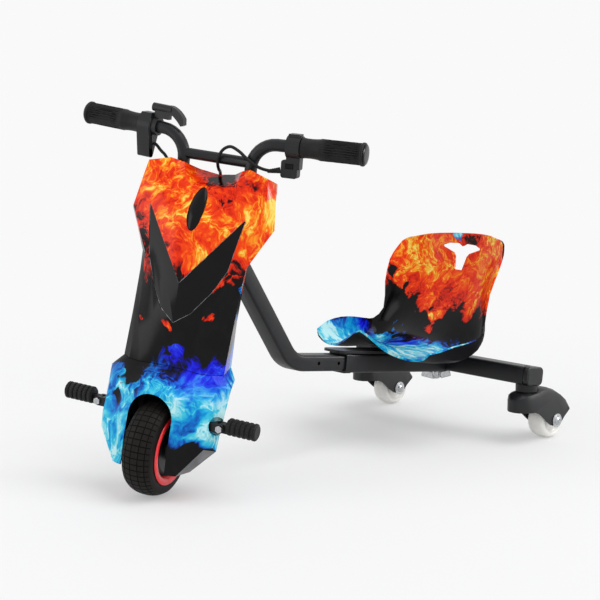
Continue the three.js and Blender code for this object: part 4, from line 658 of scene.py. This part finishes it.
# %% Touches on the seat
seat_touches = [
    (FIRE, (-2, 698, 210), 30, 0.13),        # tongues that hang into the pan
    (FIRE, (-4, 718, 236), 34, 0.12),
    (FIRE, (84, 730, 246), 34, 0.07),
    (FIRE, (-136, 740, 316), 20, -0.11),     # black holes in the flames
    (FIRE, (-94, 748, 279), 16, -0.07),
    (FIRE, (-67, 744, 260), 12, -0.06),
    (FIRE, (-110, 722, 250), 34, -0.05),
    (FIRE_HEAT, (30, 801, 388), 34, -0.4),
    (FIRE_HEAT, (-70, 770, 350), 90, 0.16),
    (FIRE_HEAT, (30, 780, 300), 60, 0.12),
    (FIRE_HEAT, (90, 790, 350), 60, 0.1),
    (ICE, (-8, 803, 392), 22, -0.5),         # a blue spark at the top
    (ICE, (-144, 640, 214), 60, -0.05),      # the blue wing at the left
    (ICE, (155, 640, 214), 60, -0.04),
    (ICE, (120, 626, 186), 60, -0.05),
    (ICE_HEAT, (-140, 556, 198), 120, 0.2),  # paler swirls
    (ICE_HEAT, (72, 622, 180), 60, 0.05),
    (ROYAL, (-146, 668, 210), 34, 1.3),
    (ROYAL, (-10, 640, 186), 50, 1.2),
]
print("touches on the seat:", len(seat_touches))

# %% [markdown]
# ## The two prints
# The shell's fire starts at one height all round, and the upper edge of its ice rises towards the
# back and the rider's left. The seat's print was laid up the slope of its back, so its bands are
# counted up that slope. Each print has its own seed, which shifts the noise, so that the two don't
# match.

# %% Prints
UP_THE_SEAT = (0, 0.55, 0.835)
shell_print = flame_print("shell_fire_and_ice_print", fire_along=(0, 0, 1), fire_from=0.365,
                          ice_along=(-0.2, -0.5, 1), ice_from=0.222, seed=3.1, hang=0.1,
                          touches=shell_touches)
seat_print = flame_print("seat_fire_and_ice_print", fire_along=UP_THE_SEAT, fire_from=0.615,
                         ice_along=UP_THE_SEAT, ice_from=0.54, seed=7.7, hang=0.16,
                         touches=seat_touches)
print(shell_print.name, seat_print.name, "nodes:", len(shell_print.node_tree.nodes))

# %% [markdown]
# ## Front tyre
# The tyre is solid rubber with a fine block tread: four grooves run round it and 48 cross it, about
# 11 mm apart and just under 1 mm deep. Each groove is cut as geometry, because it shows at the
# outline, where a bump would be flat.

# %% Tyre
TYRE_RADIUS = 85
HALF_WIDTH = 28
CROWN_DROP = 9
HALF_TREAD = 25.2
WALL_RADIUS = 70
TREAD_PITCHES = 48
COLUMNS_PER_PITCH = 16
GROOVE_COLUMNS = (14, 15)
GROOVE_DEPTH = 0.9
HALF_GROOVE = 0.5
GROOVE_PLACES = (-18.5, -7, 7, 18.5)


def crown(offset):
    """The tyre's radius at a distance from its middle plane."""
    return TYRE_RADIUS - CROWN_DROP * abs(offset / HALF_WIDTH) ** 2.6


def tread(radius, along, column):
    """How deep the tread is cut: in a groove round the tyre, or in the last columns of each pitch."""
    if abs(along) > HALF_TREAD or radius < WALL_RADIUS:
        return 0
    in_groove = any(abs(along - middle) < HALF_GROOVE for middle in GROOVE_PLACES)
    return GROOVE_DEPTH if in_groove or column % COLUMNS_PER_PITCH in GROOVE_COLUMNS else 0


half_wall = [(52, 23), (58, 25.5), (63, 27.4), (69.3, 28), (73, 27.8), (crown(26.4), 26.4)]
offsets = [-25, -21.5, -12.5, 0, 12.5, 21.5, 25]
for middle in GROOVE_PLACES:
    offsets += [middle + step for step in (-0.8, -0.4, 0.4, 0.8)]
tyre_outline = [(radius, -offset) for radius, offset in half_wall]
tyre_outline += [(crown(offset), offset) for offset in sorted(offsets)] + half_wall[::-1]
wheel_place = front_frame @ at(0, 0, AXLE_HEIGHT / MM)
shape = turned(tyre_outline, COLUMNS_PER_PITCH * TREAD_PITCHES, True, tread)
# Faces deep in a groove take the groove rubber, whose darker black is partly painted shade.
for face in shape.faces:
    depths = [crown(v.co.x / MM) - math.hypot(v.co.y, v.co.z) / MM for v in face.verts]
    on_tread = max(abs(v.co.x) for v in face.verts) < HALF_TREAD * MM
    face.material_index = 1 if on_tread and max(depths) > GROOVE_DEPTH / 2 else 0
tyre = piece("front_tyre_tread", shape, [tread_rubber, groove_painted_shade_rubber], wheel_place, 30)
stands_for(tyre, "front_tyre")
print("tyre faces:", len(tyre.data.polygons))

# %% [markdown]
# ## Front rim
# The rim is pressed in two dishes that meet round the hub motor. Its outer lip is rolled, and the
# roll is what flashes bright in the photograph. Both halves are the same, so only one is written.

# %% Rim
def mirrored(half):
    """A whole outline from its outer half."""
    return [(radius, -along) for radius, along in half] + half[::-1]


half_rim = [(47.3, 21.8), (49, 26), (51.5, 29.2), (54.2, 30.2), (57.4, 30.6), (60.6, 30.4), (62.2, 29.4),
            (62.4, 28.3), (51.7, 23.3)]
rim = piece("front_rim_pressing", turned(mirrored(half_rim), 96, True), [red_enamel], wheel_place, 50)
stands_for(rim, "front_rim")
print("rim width in mm:", round(rim.dimensions.x / MM, 1))

# %% [markdown]
# ## Grips
# Each grip is a rubber sleeve with a smooth, flared neck. Farther out it has ribs along it, which
# wave a little like grain round a knot, and it ends in a flange with a glossy plug.

# %% Grips
GRIP_SIDES = 150
RIBS = 30
RIB_DEPTH = 2.1
RIBS_FROM = 34
RIBS_TO = 105
RIBBED_RADIUS = 18.9
grip_start = Vector((155, 140, 617))
grip_end = Vector((266, 146, 621))


def on_grip(side):
    """The frame of a piece on one end of the bar: X runs outwards from the inner end of the grip."""
    way = grip_end - grip_start
    way.x *= side
    tilt = Vector((1, 0, 0)).rotation_difference(way.normalized()).to_matrix().to_4x4()
    return front_frame @ at(grip_start.x * side, grip_start.y, grip_start.z) @ tilt


def ribs(radius, along, column):
    """Ribs that wave along the grip and die away towards the neck."""
    if along < RIBS_FROM or along > RIBS_TO or radius < 15:
        return 0
    fade_in = min(1, (along - RIBS_FROM) / 12)
    turn = math.tau * column / GRIP_SIDES
    wave = 1.1 * math.sin((along - RIBS_FROM) / 22) * math.sin(3 * turn)
    return RIB_DEPTH / 2 * fade_in * (1 - math.cos(RIBS * turn + 2.4 * wave))


neck = [(11.3, 0), (17.6, 0), (18, 1.2), (17.6, 3), (17, 8), (16.8, 16), (17.2, 24), (18, 31)]
ribbed = [(RIBBED_RADIUS, RIBS_FROM + (RIBS_TO - RIBS_FROM) * step / 30) for step in range(31)]
flange = [(18.2, 105.6), (19.6, 106), (20.2, 107), (20.2, 110), (19.6, 111), (17, 111), (11.3, 111)]
plug = [(0, 106), (10.7, 106), (10.7, 111.3), (18, 111.3), (18, 112.6), (16.8, 113.7), (12, 114),
        (0, 114.1)]
for side, side_name in ((1, "left"), (-1, "right")):
    sleeve = turned(neck + ribbed + flange, GRIP_SIDES, True, ribs)
    grip = piece(side_name + "_grip_sleeve", sleeve, [grip_rubber], on_grip(side), 60)
    stands_for(grip, side_name + "_grip")
    end = piece(side_name + "_grip_end", turned(plug, 64), [gloss_abs], on_grip(side), 40)
    stands_for(end, side_name + "_grip_plug")
print("grip ribs:", RIBS)

# %% [markdown]
# ## Foot pegs
# A peg is a steel stub in a ribbed rubber sleeve. Six broad ribs keep a shoe from sliding off, and
# notches across each rib add grip. The block at its root is what the pivot bolt goes through.

# %% Pegs
PEG_ROOT = 12
PEG_RIBS = 6
RIB_LENGTH = 9
VALLEY = 12.4
CREST = 15


def block(shape, size, tilt, shift):
    """Adds a block to a shape, tilted about its Y axis and then shifted, with sizes in millimetres."""
    corners = bmesh.ops.create_cube(shape, size=1)["verts"]
    bmesh.ops.scale(shape, verts=corners, vec=Vector(size) * MM)
    bmesh.ops.rotate(shape, verts=corners, matrix=Matrix.Rotation(tilt, 3, "Y"))
    bmesh.ops.translate(shape, verts=corners, vec=Vector(shift) * MM)


def notches(radius, along, column):
    """Notches round the crest of each rib, two columns wide in every six."""
    return 0.9 if radius > 14 and column % 6 in (4, 5) else 0


peg_outline = [(0, 0)]
for start in range(0, PEG_RIBS * RIB_LENGTH, RIB_LENGTH):
    peg_outline += [(VALLEY, start), (VALLEY, start + 1.6), (14.6, start + 2.3), (CREST, start + 3.2),
                    (CREST, start + 6.6), (14.6, start + 7.5), (VALLEY, start + 8.2)]
peg_outline += [(VALLEY, PEG_RIBS * RIB_LENGTH), (0, PEG_RIBS * RIB_LENGTH)]
for side, side_name in ((1, "left"), (-1, "right")):
    shape = turned(peg_outline, 96, False, notches)
    bmesh.ops.translate(shape, verts=shape.verts, vec=Vector((PEG_ROOT, 0, 5)) * MM)
    block(shape, (24, 12, 15.4), 0, (8.5, 0, 0))
    place = front_frame @ at(118 * side, 0, 145) @ Matrix.Rotation(0 if side > 0 else math.pi, 4, "Z")
    peg = piece(side_name + "_peg_sleeve", shape, [grip_rubber], place, 40)
    stands_for(peg, side_name + "_foot_peg")
print("peg ribs:", PEG_RIBS)

# %% [markdown]
# ## Caster wheels and their bolts
# The wheels are cast in one piece, domed at the tread and hollow round the hub. A bolt with a wide
# washer and a domed head holds each one in its fork.

# %% Casters
CASTER_TRACK = 213
SWIVEL_BACK = 757
TRAIL = 64
CASTER_AXLE_HEIGHT = 37.5
half_wheel = [(4.5, 19.2), (10.4, 19.2), (12, 18.4), (13.6, 16), (16, 14.8), (19.5, 14.6),
              (22.8, 15.6), (25.4, 17.6), (27.6, 19.2), (29.4, 19.7), (31.6, 19.3), (33.6, 17.6),
              (35.2, 14.8), (36.4, 11), (37.1, 6.6), (37.5, 2.2)]
half_bolt = [(0, 34.4), (2.6, 34.4), (3, 32.4), (3.4, 34.3), (5.8, 33.8), (7.4, 32.8), (8.2, 31.4),
             (8.4, 30.6), (11.4, 30.5), (11.8, 30.1), (11.8, 29.7), (13.8, 29.6), (14.1, 29.2),
             (14.1, 28.4), (13.7, 27.9), (4, 27.8)]
for side_name, x in (("left", CASTER_TRACK), ("right", -CASTER_TRACK)):
    caster = side_name + "_caster"
    place = row_frame @ at(x, SWIVEL_BACK + TRAIL, CASTER_AXLE_HEIGHT)
    wheel = piece(caster + "_roller", turned(mirrored(half_wheel), 80, True), [white_urethane], place, 50)
    stands_for(wheel, caster + "_wheel")
    bolt = piece(caster + "_bolt", turned(mirrored(half_bolt), 48), [zinc_steel], place, 40)
    stands_for(bolt, caster + "_axle")
print("caster wheel's size in mm:", round(wheel.dimensions.y / MM, 1))

# %% [markdown]
# ## Wing nut
# The nut under the frame is cast zinc, with a round hub and two thick, blunt wings. Cast, pressed and
# moulded parts have a small radius on every edge, and that radius is what catches the light, so a
# bevel modifier rounds the edges.

# %% Wing nut
NUT_TURN = math.radians(48)
WING_TILT = math.radians(14)


def rounded(made, edge, segments, crease):
    """Gives a piece's sharp edges a small radius."""
    bevel = made.modifiers.new("edge_radius", "BEVEL")
    bevel.width = edge * MM
    bevel.segments = segments
    bevel.limit_method = "ANGLE"
    bevel.angle_limit = math.radians(crease)
    bevel.harden_normals = True
    return made


hub = [(0, -10.4), (5.6, -10.2), (8.6, -8.6), (9.8, -5.6), (10.2, 5), (9, 7.6), (0, 7.8)]
shape = turned(hub, 32)
bmesh.ops.rotate(shape, verts=shape.verts, matrix=Matrix.Rotation(math.radians(-90), 3, "Y"))
for side in (-1, 1):
    block(shape, (22, 7.5, 14), -WING_TILT * side, (18.5 * side, 0, -1))
nut_place = row_frame @ at(3.5, 726, 112) @ Matrix.Rotation(NUT_TURN, 4, "Z")
nut = rounded(piece("cast_wing_nut", shape, [zinc_steel], nut_place, 40), 2, 3, 40)
stands_for(nut, "wing_nut")
print("wing nut's span in mm:", round(nut.dimensions.x / MM, 1))

# %% [markdown]
# ## Control leads
# Two thin leads run from the throttle and from the switch box into the open top of the shell. Each
# is a curve through given points, as thick as the real lead. A tapered sleeve with five rings
# keeps the switch lead from kinking where it leaves its box.

# %% Leads
LEAD_DIAMETER = 5.6
lead_routes = {
    "switch_lead": [
        (120.4, 135, 574), (104, 127, 571.5), (87, 121.5, 574.5), (73, 121.5, 580.5), (59, 121.5, 588.5),
        (46, 121.5, 597), (29, 122.5, 602.5), (15, 122.5, 595), (7.5, 122.5, 579.5), (6, 127, 567),
        (3, 140, 557), (-2, 156, 551.5), (-2, 163, 536)],
    "throttle_lead": [
        (-129, 142, 584.5), (-124, 142.5, 582.5), (-115, 143, 574), (-105, 142, 567), (-97, 141, 556),
        (-93, 140, 540)],
}


def tube(name, radius, resolution, surface):
    """An empty curve that draws round tubes of a radius in millimetres."""
    made = bpy.data.curves.new(name, "CURVE")
    made.dimensions = "3D"
    made.bevel_depth = radius * MM
    made.bevel_resolution = resolution
    made.use_fill_caps = True
    made.materials.append(surface)
    return made


def smooth_route(points, steps):
    """Points on a smooth curve through the given ones."""
    ends = [2 * points[0] - points[1]] + points + [2 * points[-1] - points[-2]]
    path = []
    for a, b, c, d in zip(ends, ends[1:], ends[2:], ends[3:]):
        for i in range(steps):
            t = i / steps
            path.append(0.5 * (2 * b + (c - a) * t + (2 * a - 5 * b + 4 * c - d) * t * t
                               + (3 * b - 3 * c + d - a) * t ** 3))
    return path + [points[-1]]


def strain_relief(name, path):
    """The ringed, tapered sleeve over the start of a lead."""
    sleeve = [(2.8, 0), (5.4, 0), (5.4, 2), (5, 4)]
    for ring in range(5):
        foot = 5 + ring * 3.4
        girth = 4.9 - ring * 0.35
        sleeve += [(girth, foot), (girth, foot + 2), (girth - 0.7, foot + 2.4), (girth - 0.7, foot + 3.2)]
    sleeve += [(3.1, 22.5), (2.8, 22.5)]
    way = (path[4] - path[0]).normalized()
    tilt = Vector((1, 0, 0)).rotation_difference(way).to_matrix().to_4x4()
    place = Matrix.Translation(path[0]) @ tilt
    relief = piece(name + "_relief", turned(sleeve, 32, True), [grip_rubber], place, 50)
    settle(relief, "steering", name)


for name, route in lead_routes.items():
    path = smooth_route([front_frame @ (Vector(point) * MM) for point in route], 6)
    curve = tube(name + "_cable", LEAD_DIAMETER / 2, 5, grip_rubber)
    spline = curve.splines.new("POLY")
    spline.points.add(len(path) - 1)
    for point, place in zip(spline.points, path):
        point.co = (*place, 1)
    spline.use_smooth = True
    cable = placed(name + "_cable", curve)
    stands_for(cable, name)
    length = sum((b - a).length for a, b in zip(path, path[1:]))
    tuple(path[0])
    print(name, "length in mm:", round(length / MM, 1))
    if name == "switch_lead":
        strain_relief(name, path)

# %% [markdown]
# ## Inside the shell
# Dull black panels close the wheel well behind the tyre, a flange bridges the seam between the two
# halves of the shell, and a printed boot closes each hole round a peg's bracket. All are bent from
# thin sheet, so each is a grid of points with a second layer. A new grid has no normals to be
# thickened along, so the two layers lie on each other, and the sheets have no real thickness.

# %% Inner panels
def sheet(name, slot_name, rows, thickness, surface):
    """A thin sheet in the turned front end, through rows of points in millimetres."""
    shape = bmesh.new()
    grid = [[shape.verts.new(Vector(point) * MM) for point in row] for row in rows]
    for upper, lower in zip(grid, grid[1:]):
        for k in range(len(upper) - 1):
            shape.faces.new((upper[k], upper[k + 1], lower[k + 1], lower[k]))
    bmesh.ops.solidify(shape, geom=shape.faces[:], thickness=thickness * MM)
    return settle(piece(name, shape, [surface], front_frame), "steering", slot_name)


HUB_UP = 85
WELL_RADIUS = 90
SEAM_FROM_TO = (217, 233)
well_edges = [(91, 83, 207), (89, 76, 178), (84, 62, 150), (82, 58, 136), (80, 53, 122), (79, 45, 101),
              (66, 17, 60)]
seam_points = [(0, 23.6), (24, 22.8), (42, 22.8), (60, 23.8), (78.2, 25.4), (93, 38), (81, 89)]
boot_corners = [[(96, -20.5, 124), (109.2, 4.6, 124), (97.4, 26.6, 124)],
                [(96.8, -6.5, 170), (111, 17.6, 170), (99.5, 40, 170)]]
well_rows = []
for half, back, up in well_edges[:5]:
    behind_tyre = math.sqrt(WELL_RADIUS ** 2 - (up - HUB_UP) ** 2) if up < HUB_UP + WELL_RADIUS else 0
    behind_tyre = max(back + 4, behind_tyre)
    half_row = [(half, back), (38, back + 2), (32, behind_tyre)]
    well_rows.append([(-x, y, up) for x, y in half_row] + [(0, behind_tyre, up)]
                     + [(x, y, up) for x, y in half_row[::-1]])
panels = [sheet("wheel_well_panel", "wheel_fender", well_rows, 1.5, raw_back)]
for side, side_name in ((1, "left"), (-1, "right")):
    wing_rows = [[(side * x, back, up) for x in (half + 3, 58, 31)] for half, back, up in well_edges[4:]]
    flange_rows = [[(side * x, y, up) for x, y in seam_points] for up in SEAM_FROM_TO]
    boot_rows = [[(side * x, y, z) for x, y, z in row] for row in boot_corners]
    panels += [sheet(side_name + "_wheel_well_wing", "wheel_fender", wing_rows, 1.5, raw_back),
               sheet(side_name + "_seam_flange", "front_shell", flange_rows, 1, moulded_nylon),
               sheet(side_name + "_peg_boot", "wheel_fender", boot_rows, 1.2, shell_print)]
print("inner panels:", len(panels))

# %% [markdown]
# ## Headlamp cover
# The lamp sits behind a domed oval of gloss black plastic that stands a little proud of the shell.
# Rings of points, each set back a little from the one inside it, follow the curve of the shell.

# %% Headlamp
LAMP_HEIGHT = 494
LAMP_DOME = 5.2
LAMP_HALF_WIDTH = 13.9
LAMP_HALF_HEIGHT = 35.2
LAMP_SIDES = 48
LAMP_RINGS = 9


def lamp_face(x, z):
    """How far back the shell's face is behind the lamp, in millimetres."""
    along = (z - LAMP_HEIGHT) / 36
    return 74.2 + 20.1 * along - 3.7 * (1 - along ** 2) + 0.06 * abs(x)


shape = bmesh.new()
rings = []
for ring in range(LAMP_RINGS):
    share = math.sin(math.pi / 2 * (ring + 1) / LAMP_RINGS)
    dome = LAMP_DOME * math.sqrt(max(0, 1 - share ** 2))
    corners = []
    for k in range(LAMP_SIDES):
        angle = math.tau * k / LAMP_SIDES
        x = LAMP_HALF_WIDTH * share * math.cos(angle)
        z = LAMP_HEIGHT + LAMP_HALF_HEIGHT * share * math.sin(angle)
        corners.append(shape.verts.new(Vector((x, lamp_face(x, z) + 0.9 - dome, z)) * MM))
    rings.append(corners)
rings.append([shape.verts.new(v.co + Vector((0, 3.4, -1.2)) * MM) for v in rings[-1]])
for one, other in zip(rings, rings[1:]):
    for k in range(LAMP_SIDES):
        n = (k + 1) % LAMP_SIDES
        shape.faces.new((one[k], one[n], other[n], other[k]))
shape.faces.new(rings[0])
shape.faces.new(rings[-1])
cover = piece("headlamp_dome", shape, [gloss_abs], front_frame, 60)
stands_for(cover, "headlamp_lens")
print("headlamp faces:", len(cover.data.polygons))

# %% [markdown]
# ## Copies and cuts
# The frame's own meshes are never changed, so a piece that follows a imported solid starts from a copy
# of it, with the corners of its triangles joined. A second shape can be cut out of the copy.

# %% Copies and cuts
WELD_GAP = 0.02


def copied(node, place):
    """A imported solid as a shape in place's coordinates."""
    shape = bmesh.new()
    shape.from_mesh(frame["nodes"][node].data)
    shape.transform(place.inverted())
    bmesh.ops.remove_doubles(shape, verts=shape.verts, dist=WELD_GAP * MM)
    return shape


def cut_out(shape, cutter):
    """A shape less another one, both in the same coordinates."""
    body = piece("cut_body", shape, [], Matrix())
    tool = piece("cut_tool", cutter, [], Matrix())
    cutting = body.modifiers.new("cut", "BOOLEAN")
    cutting.object = tool
    cutting.operation = "DIFFERENCE"
    bpy.context.view_layer.update()
    made = bmesh.new()
    made.from_object(body, bpy.context.evaluated_depsgraph_get())
    bpy.data.objects.remove(body)
    bpy.data.objects.remove(tool)
    return made


seat_shape = copied("bucket_seat", row_frame)
print("faces of the packed seat:", len(seat_shape.faces))

# %% [markdown]
# ## Hand hold in the seat
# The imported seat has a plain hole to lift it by. The real one is a T whose arms droop at their tips,
# so we close the plain hole in our copy and cut the T through the same place.

# %% Hand hold
TEE_MIDDLE = 6
back_rest_way = Vector((0, 0.955, -0.297))
half_tee = [(0, 369.5), (10, 375.3), (36, 374.6), (50, 369.5), (50, 366.5), (36, 361.5), (21, 356),
            (15.5, 349), (9.5, 321.8)]
hole_walls = []
for face in seat_shape.faces:
    middle = face.calc_center_median() / MM
    near_hole = abs(middle.x) < 62 and middle.y > 760 and 312 < middle.z < 384
    if near_hole and abs(face.normal.dot(back_rest_way)) < 0.6:
        hole_walls.append(face)
print("faces round the plain hole:", len(hole_walls))
bmesh.ops.delete(seat_shape, geom=hole_walls, context="FACES")
open_edges = [edge for edge in seat_shape.edges if len(edge.link_faces) == 1]
bmesh.ops.holes_fill(seat_shape, edges=open_edges, sides=0)
tee = bmesh.new()
tee_outline = [(TEE_MIDDLE + x, z) for x, z in half_tee] + [(TEE_MIDDLE - x, z) for x, z in half_tee[:0:-1]]
tee_face = tee.faces.new([tee.verts.new(Vector((x, 740, z)) * MM) for x, z in tee_outline])
grown = bmesh.ops.extrude_face_region(tee, geom=[tee_face])["geom"]
far_corners = [v for v in grown if isinstance(v, bmesh.types.BMVert)]
bmesh.ops.translate(tee, verts=far_corners, vec=Vector((0, 120, 0)) * MM)
seat_shape = cut_out(seat_shape, tee)

# %% [markdown]
# ## Printed and raw sides
# The film covers only the side of a moulding that faced it in the bath. The seat's printed side is
# the inside of the bucket, so its faces look towards a point above the pan. The shell's printed side
# looks forwards and outwards. The lowest bevel of the fender has no print; its grey is painted reflection.

# %% Sides of the mouldings
ABOVE_THE_PAN = Vector((0, 0.55, 0.42))
FLANK_FROM = 83 * MM
BEVEL_TILT = -0.35


def seat_side(face):
    """0 for the printed inside of the bucket, 1 for its raw underside."""
    way = ABOVE_THE_PAN - face.calc_center_median()
    return 0 if face.normal.dot(way.normalized()) > -0.12 else 1


def shell_side(face):
    """0 for the printed outside of the shell, 1 for its raw inside."""
    middle = face.calc_center_median()
    sideways = math.copysign(2.2 if abs(middle.x) > FLANK_FROM else 0.3, middle.x)
    return 0 if face.normal.dot(Vector((sideways, -1, 0.3))) > -0.15 else 1


def fender_side(face):
    """As shell_side, with 2 for the bevel along the fender's lower edge, whose grey is painted reflection.
    """
    side = shell_side(face)
    return 2 if side == 0 and face.normal.z < BEVEL_TILT else side


print("raw faces of the seat:", sum(seat_side(face) for face in seat_shape.faces))

# %% [markdown]
# ## Rounded copies
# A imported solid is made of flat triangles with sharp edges. `dressed` copies a solid, joins its
# coplanar triangles, shades its curved faces smooth, rounds its edges, and hides the solid behind
# the copy. A rule may choose the finish of each face.

# %% Rounded copies
FLAT_ANGLE = 0.6


def dressed(node, finishes, place, edge, crease=32, segments=2, choose=None, shape=None):
    """A rounded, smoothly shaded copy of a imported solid, which it replaces."""
    shape = shape or copied(node, place)
    bmesh.ops.dissolve_limit(shape, angle_limit=math.radians(FLAT_ANGLE), verts=shape.verts,
                             edges=shape.edges)
    if choose:
        for face in shape.faces:
            face.material_index = choose(face)
    made = rounded(piece(node + "_piece", shape, finishes, place, crease), edge, segments, crease)
    return stands_for(made, node)


print("flattest edge that is kept, in degrees:", FLAT_ANGLE)

# %% [markdown]
# ## Metal frame, fork and small parts
# Every other solid but four has the right shape already, so it gets an edge radius and its finish:
# powder coat on the steel, and zinc, nylon or gloss ABS on the pieces that the lists name.

# %% Dress the other solids
EDGE_RADIUS = 0.6
front_bodies = ("steering", "front_wheel", "throttle", "rocker", "left_peg", "right_peg")
done = {"front_tyre", "front_rim", "switch_lead", "throttle_lead", "headlamp_lens", "wing_nut"}
still_to_dress = {"throttle_housing", "bucket_seat", "front_shell", "wheel_fender"}
radius_of = {"throttle_lever": 1.2, "control_box": 1.4, "gloss_insert": 1}
finish_of = {"gloss_insert": gloss_abs, "speed_rocker": gloss_abs, "throttle_lever": moulded_nylon,
             "control_box": moulded_nylon}
for side_name in ("left", "right"):
    for part in ("_grip", "_grip_plug", "_foot_peg", "_caster_wheel", "_caster_axle"):
        done.add(side_name + part)
    radius_of[side_name + "_caster_hood"] = 2
    radius_of[side_name + "_beam_cap"] = 1.2
for node in frame["nodes"]:
    if "hood" in node or "cap" in node:
        finish_of[node] = moulded_nylon
    elif "bolt" in node or "nut" in node:
        finish_of[node] = zinc_steel
    if node not in done | still_to_dress:
        place = front_frame if body_of_node[node] in front_bodies else row_frame
        dressed(node, [finish_of.get(node, powder_coat)], place, radius_of.get(node, EDGE_RADIUS))

# %% [markdown]
# ## Throttle housing, seat and shell
# The real housing is one rounded lump, so its copy is the hull round the solid, with a wide edge
# radius. The seat and the shell get a printed side and a raw one.

# %% Dress the mouldings
housing = copied("throttle_housing", front_frame)
hull = bmesh.ops.convex_hull(housing, input=housing.verts)
inside_hull = list(set(hull["geom_interior"] + hull["geom_unused"]))
bmesh.ops.delete(housing, geom=inside_hull, context="VERTS")
dressed("throttle_housing", [moulded_nylon], front_frame, 3, 40, 3, shape=housing)
dressed("bucket_seat", [seat_print, raw_back], row_frame, 0.8, choose=seat_side, shape=seat_shape)
dressed("front_shell", [shell_print, raw_back], front_frame, 1.4, segments=3, choose=shell_side)
dressed("wheel_fender", [shell_print, raw_back, bevel_painted_reflection], front_frame, 1.4, segments=3,
        choose=fender_side)

# %% [markdown]
# ## Seam round the insert
# The bead follows the rim of the insert's front, and its pale colour is a painted highlight. The rim is
# where a face that looks forward meets one that doesn't, so it is found on the solid itself, and each
# stretch of it becomes a thin tube.

# %% Seam bead
SEAM_RADIUS = 0.5
LOOKS_AHEAD = -0.35
insert = copied("gloss_insert", front_frame)
seam = tube("insert_seam_highlight_bead", SEAM_RADIUS, 2, seam_painted_highlight)
for rim_edge in insert.edges:
    ahead = [face.normal.y < LOOKS_AHEAD for face in rim_edge.link_faces]
    if len(ahead) == 2 and ahead[0] != ahead[1]:
        stretch = seam.splines.new("POLY")
        stretch.points.add(1)
        for point, corner in zip(stretch.points, rim_edge.verts):
            point.co = (*corner.co, 1)
insert.free()
bead = placed("insert_seam_highlight_bead", seam)
bead.matrix_world = front_frame
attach(bead, "steering")
print("seam stretches:", len(seam.splines))
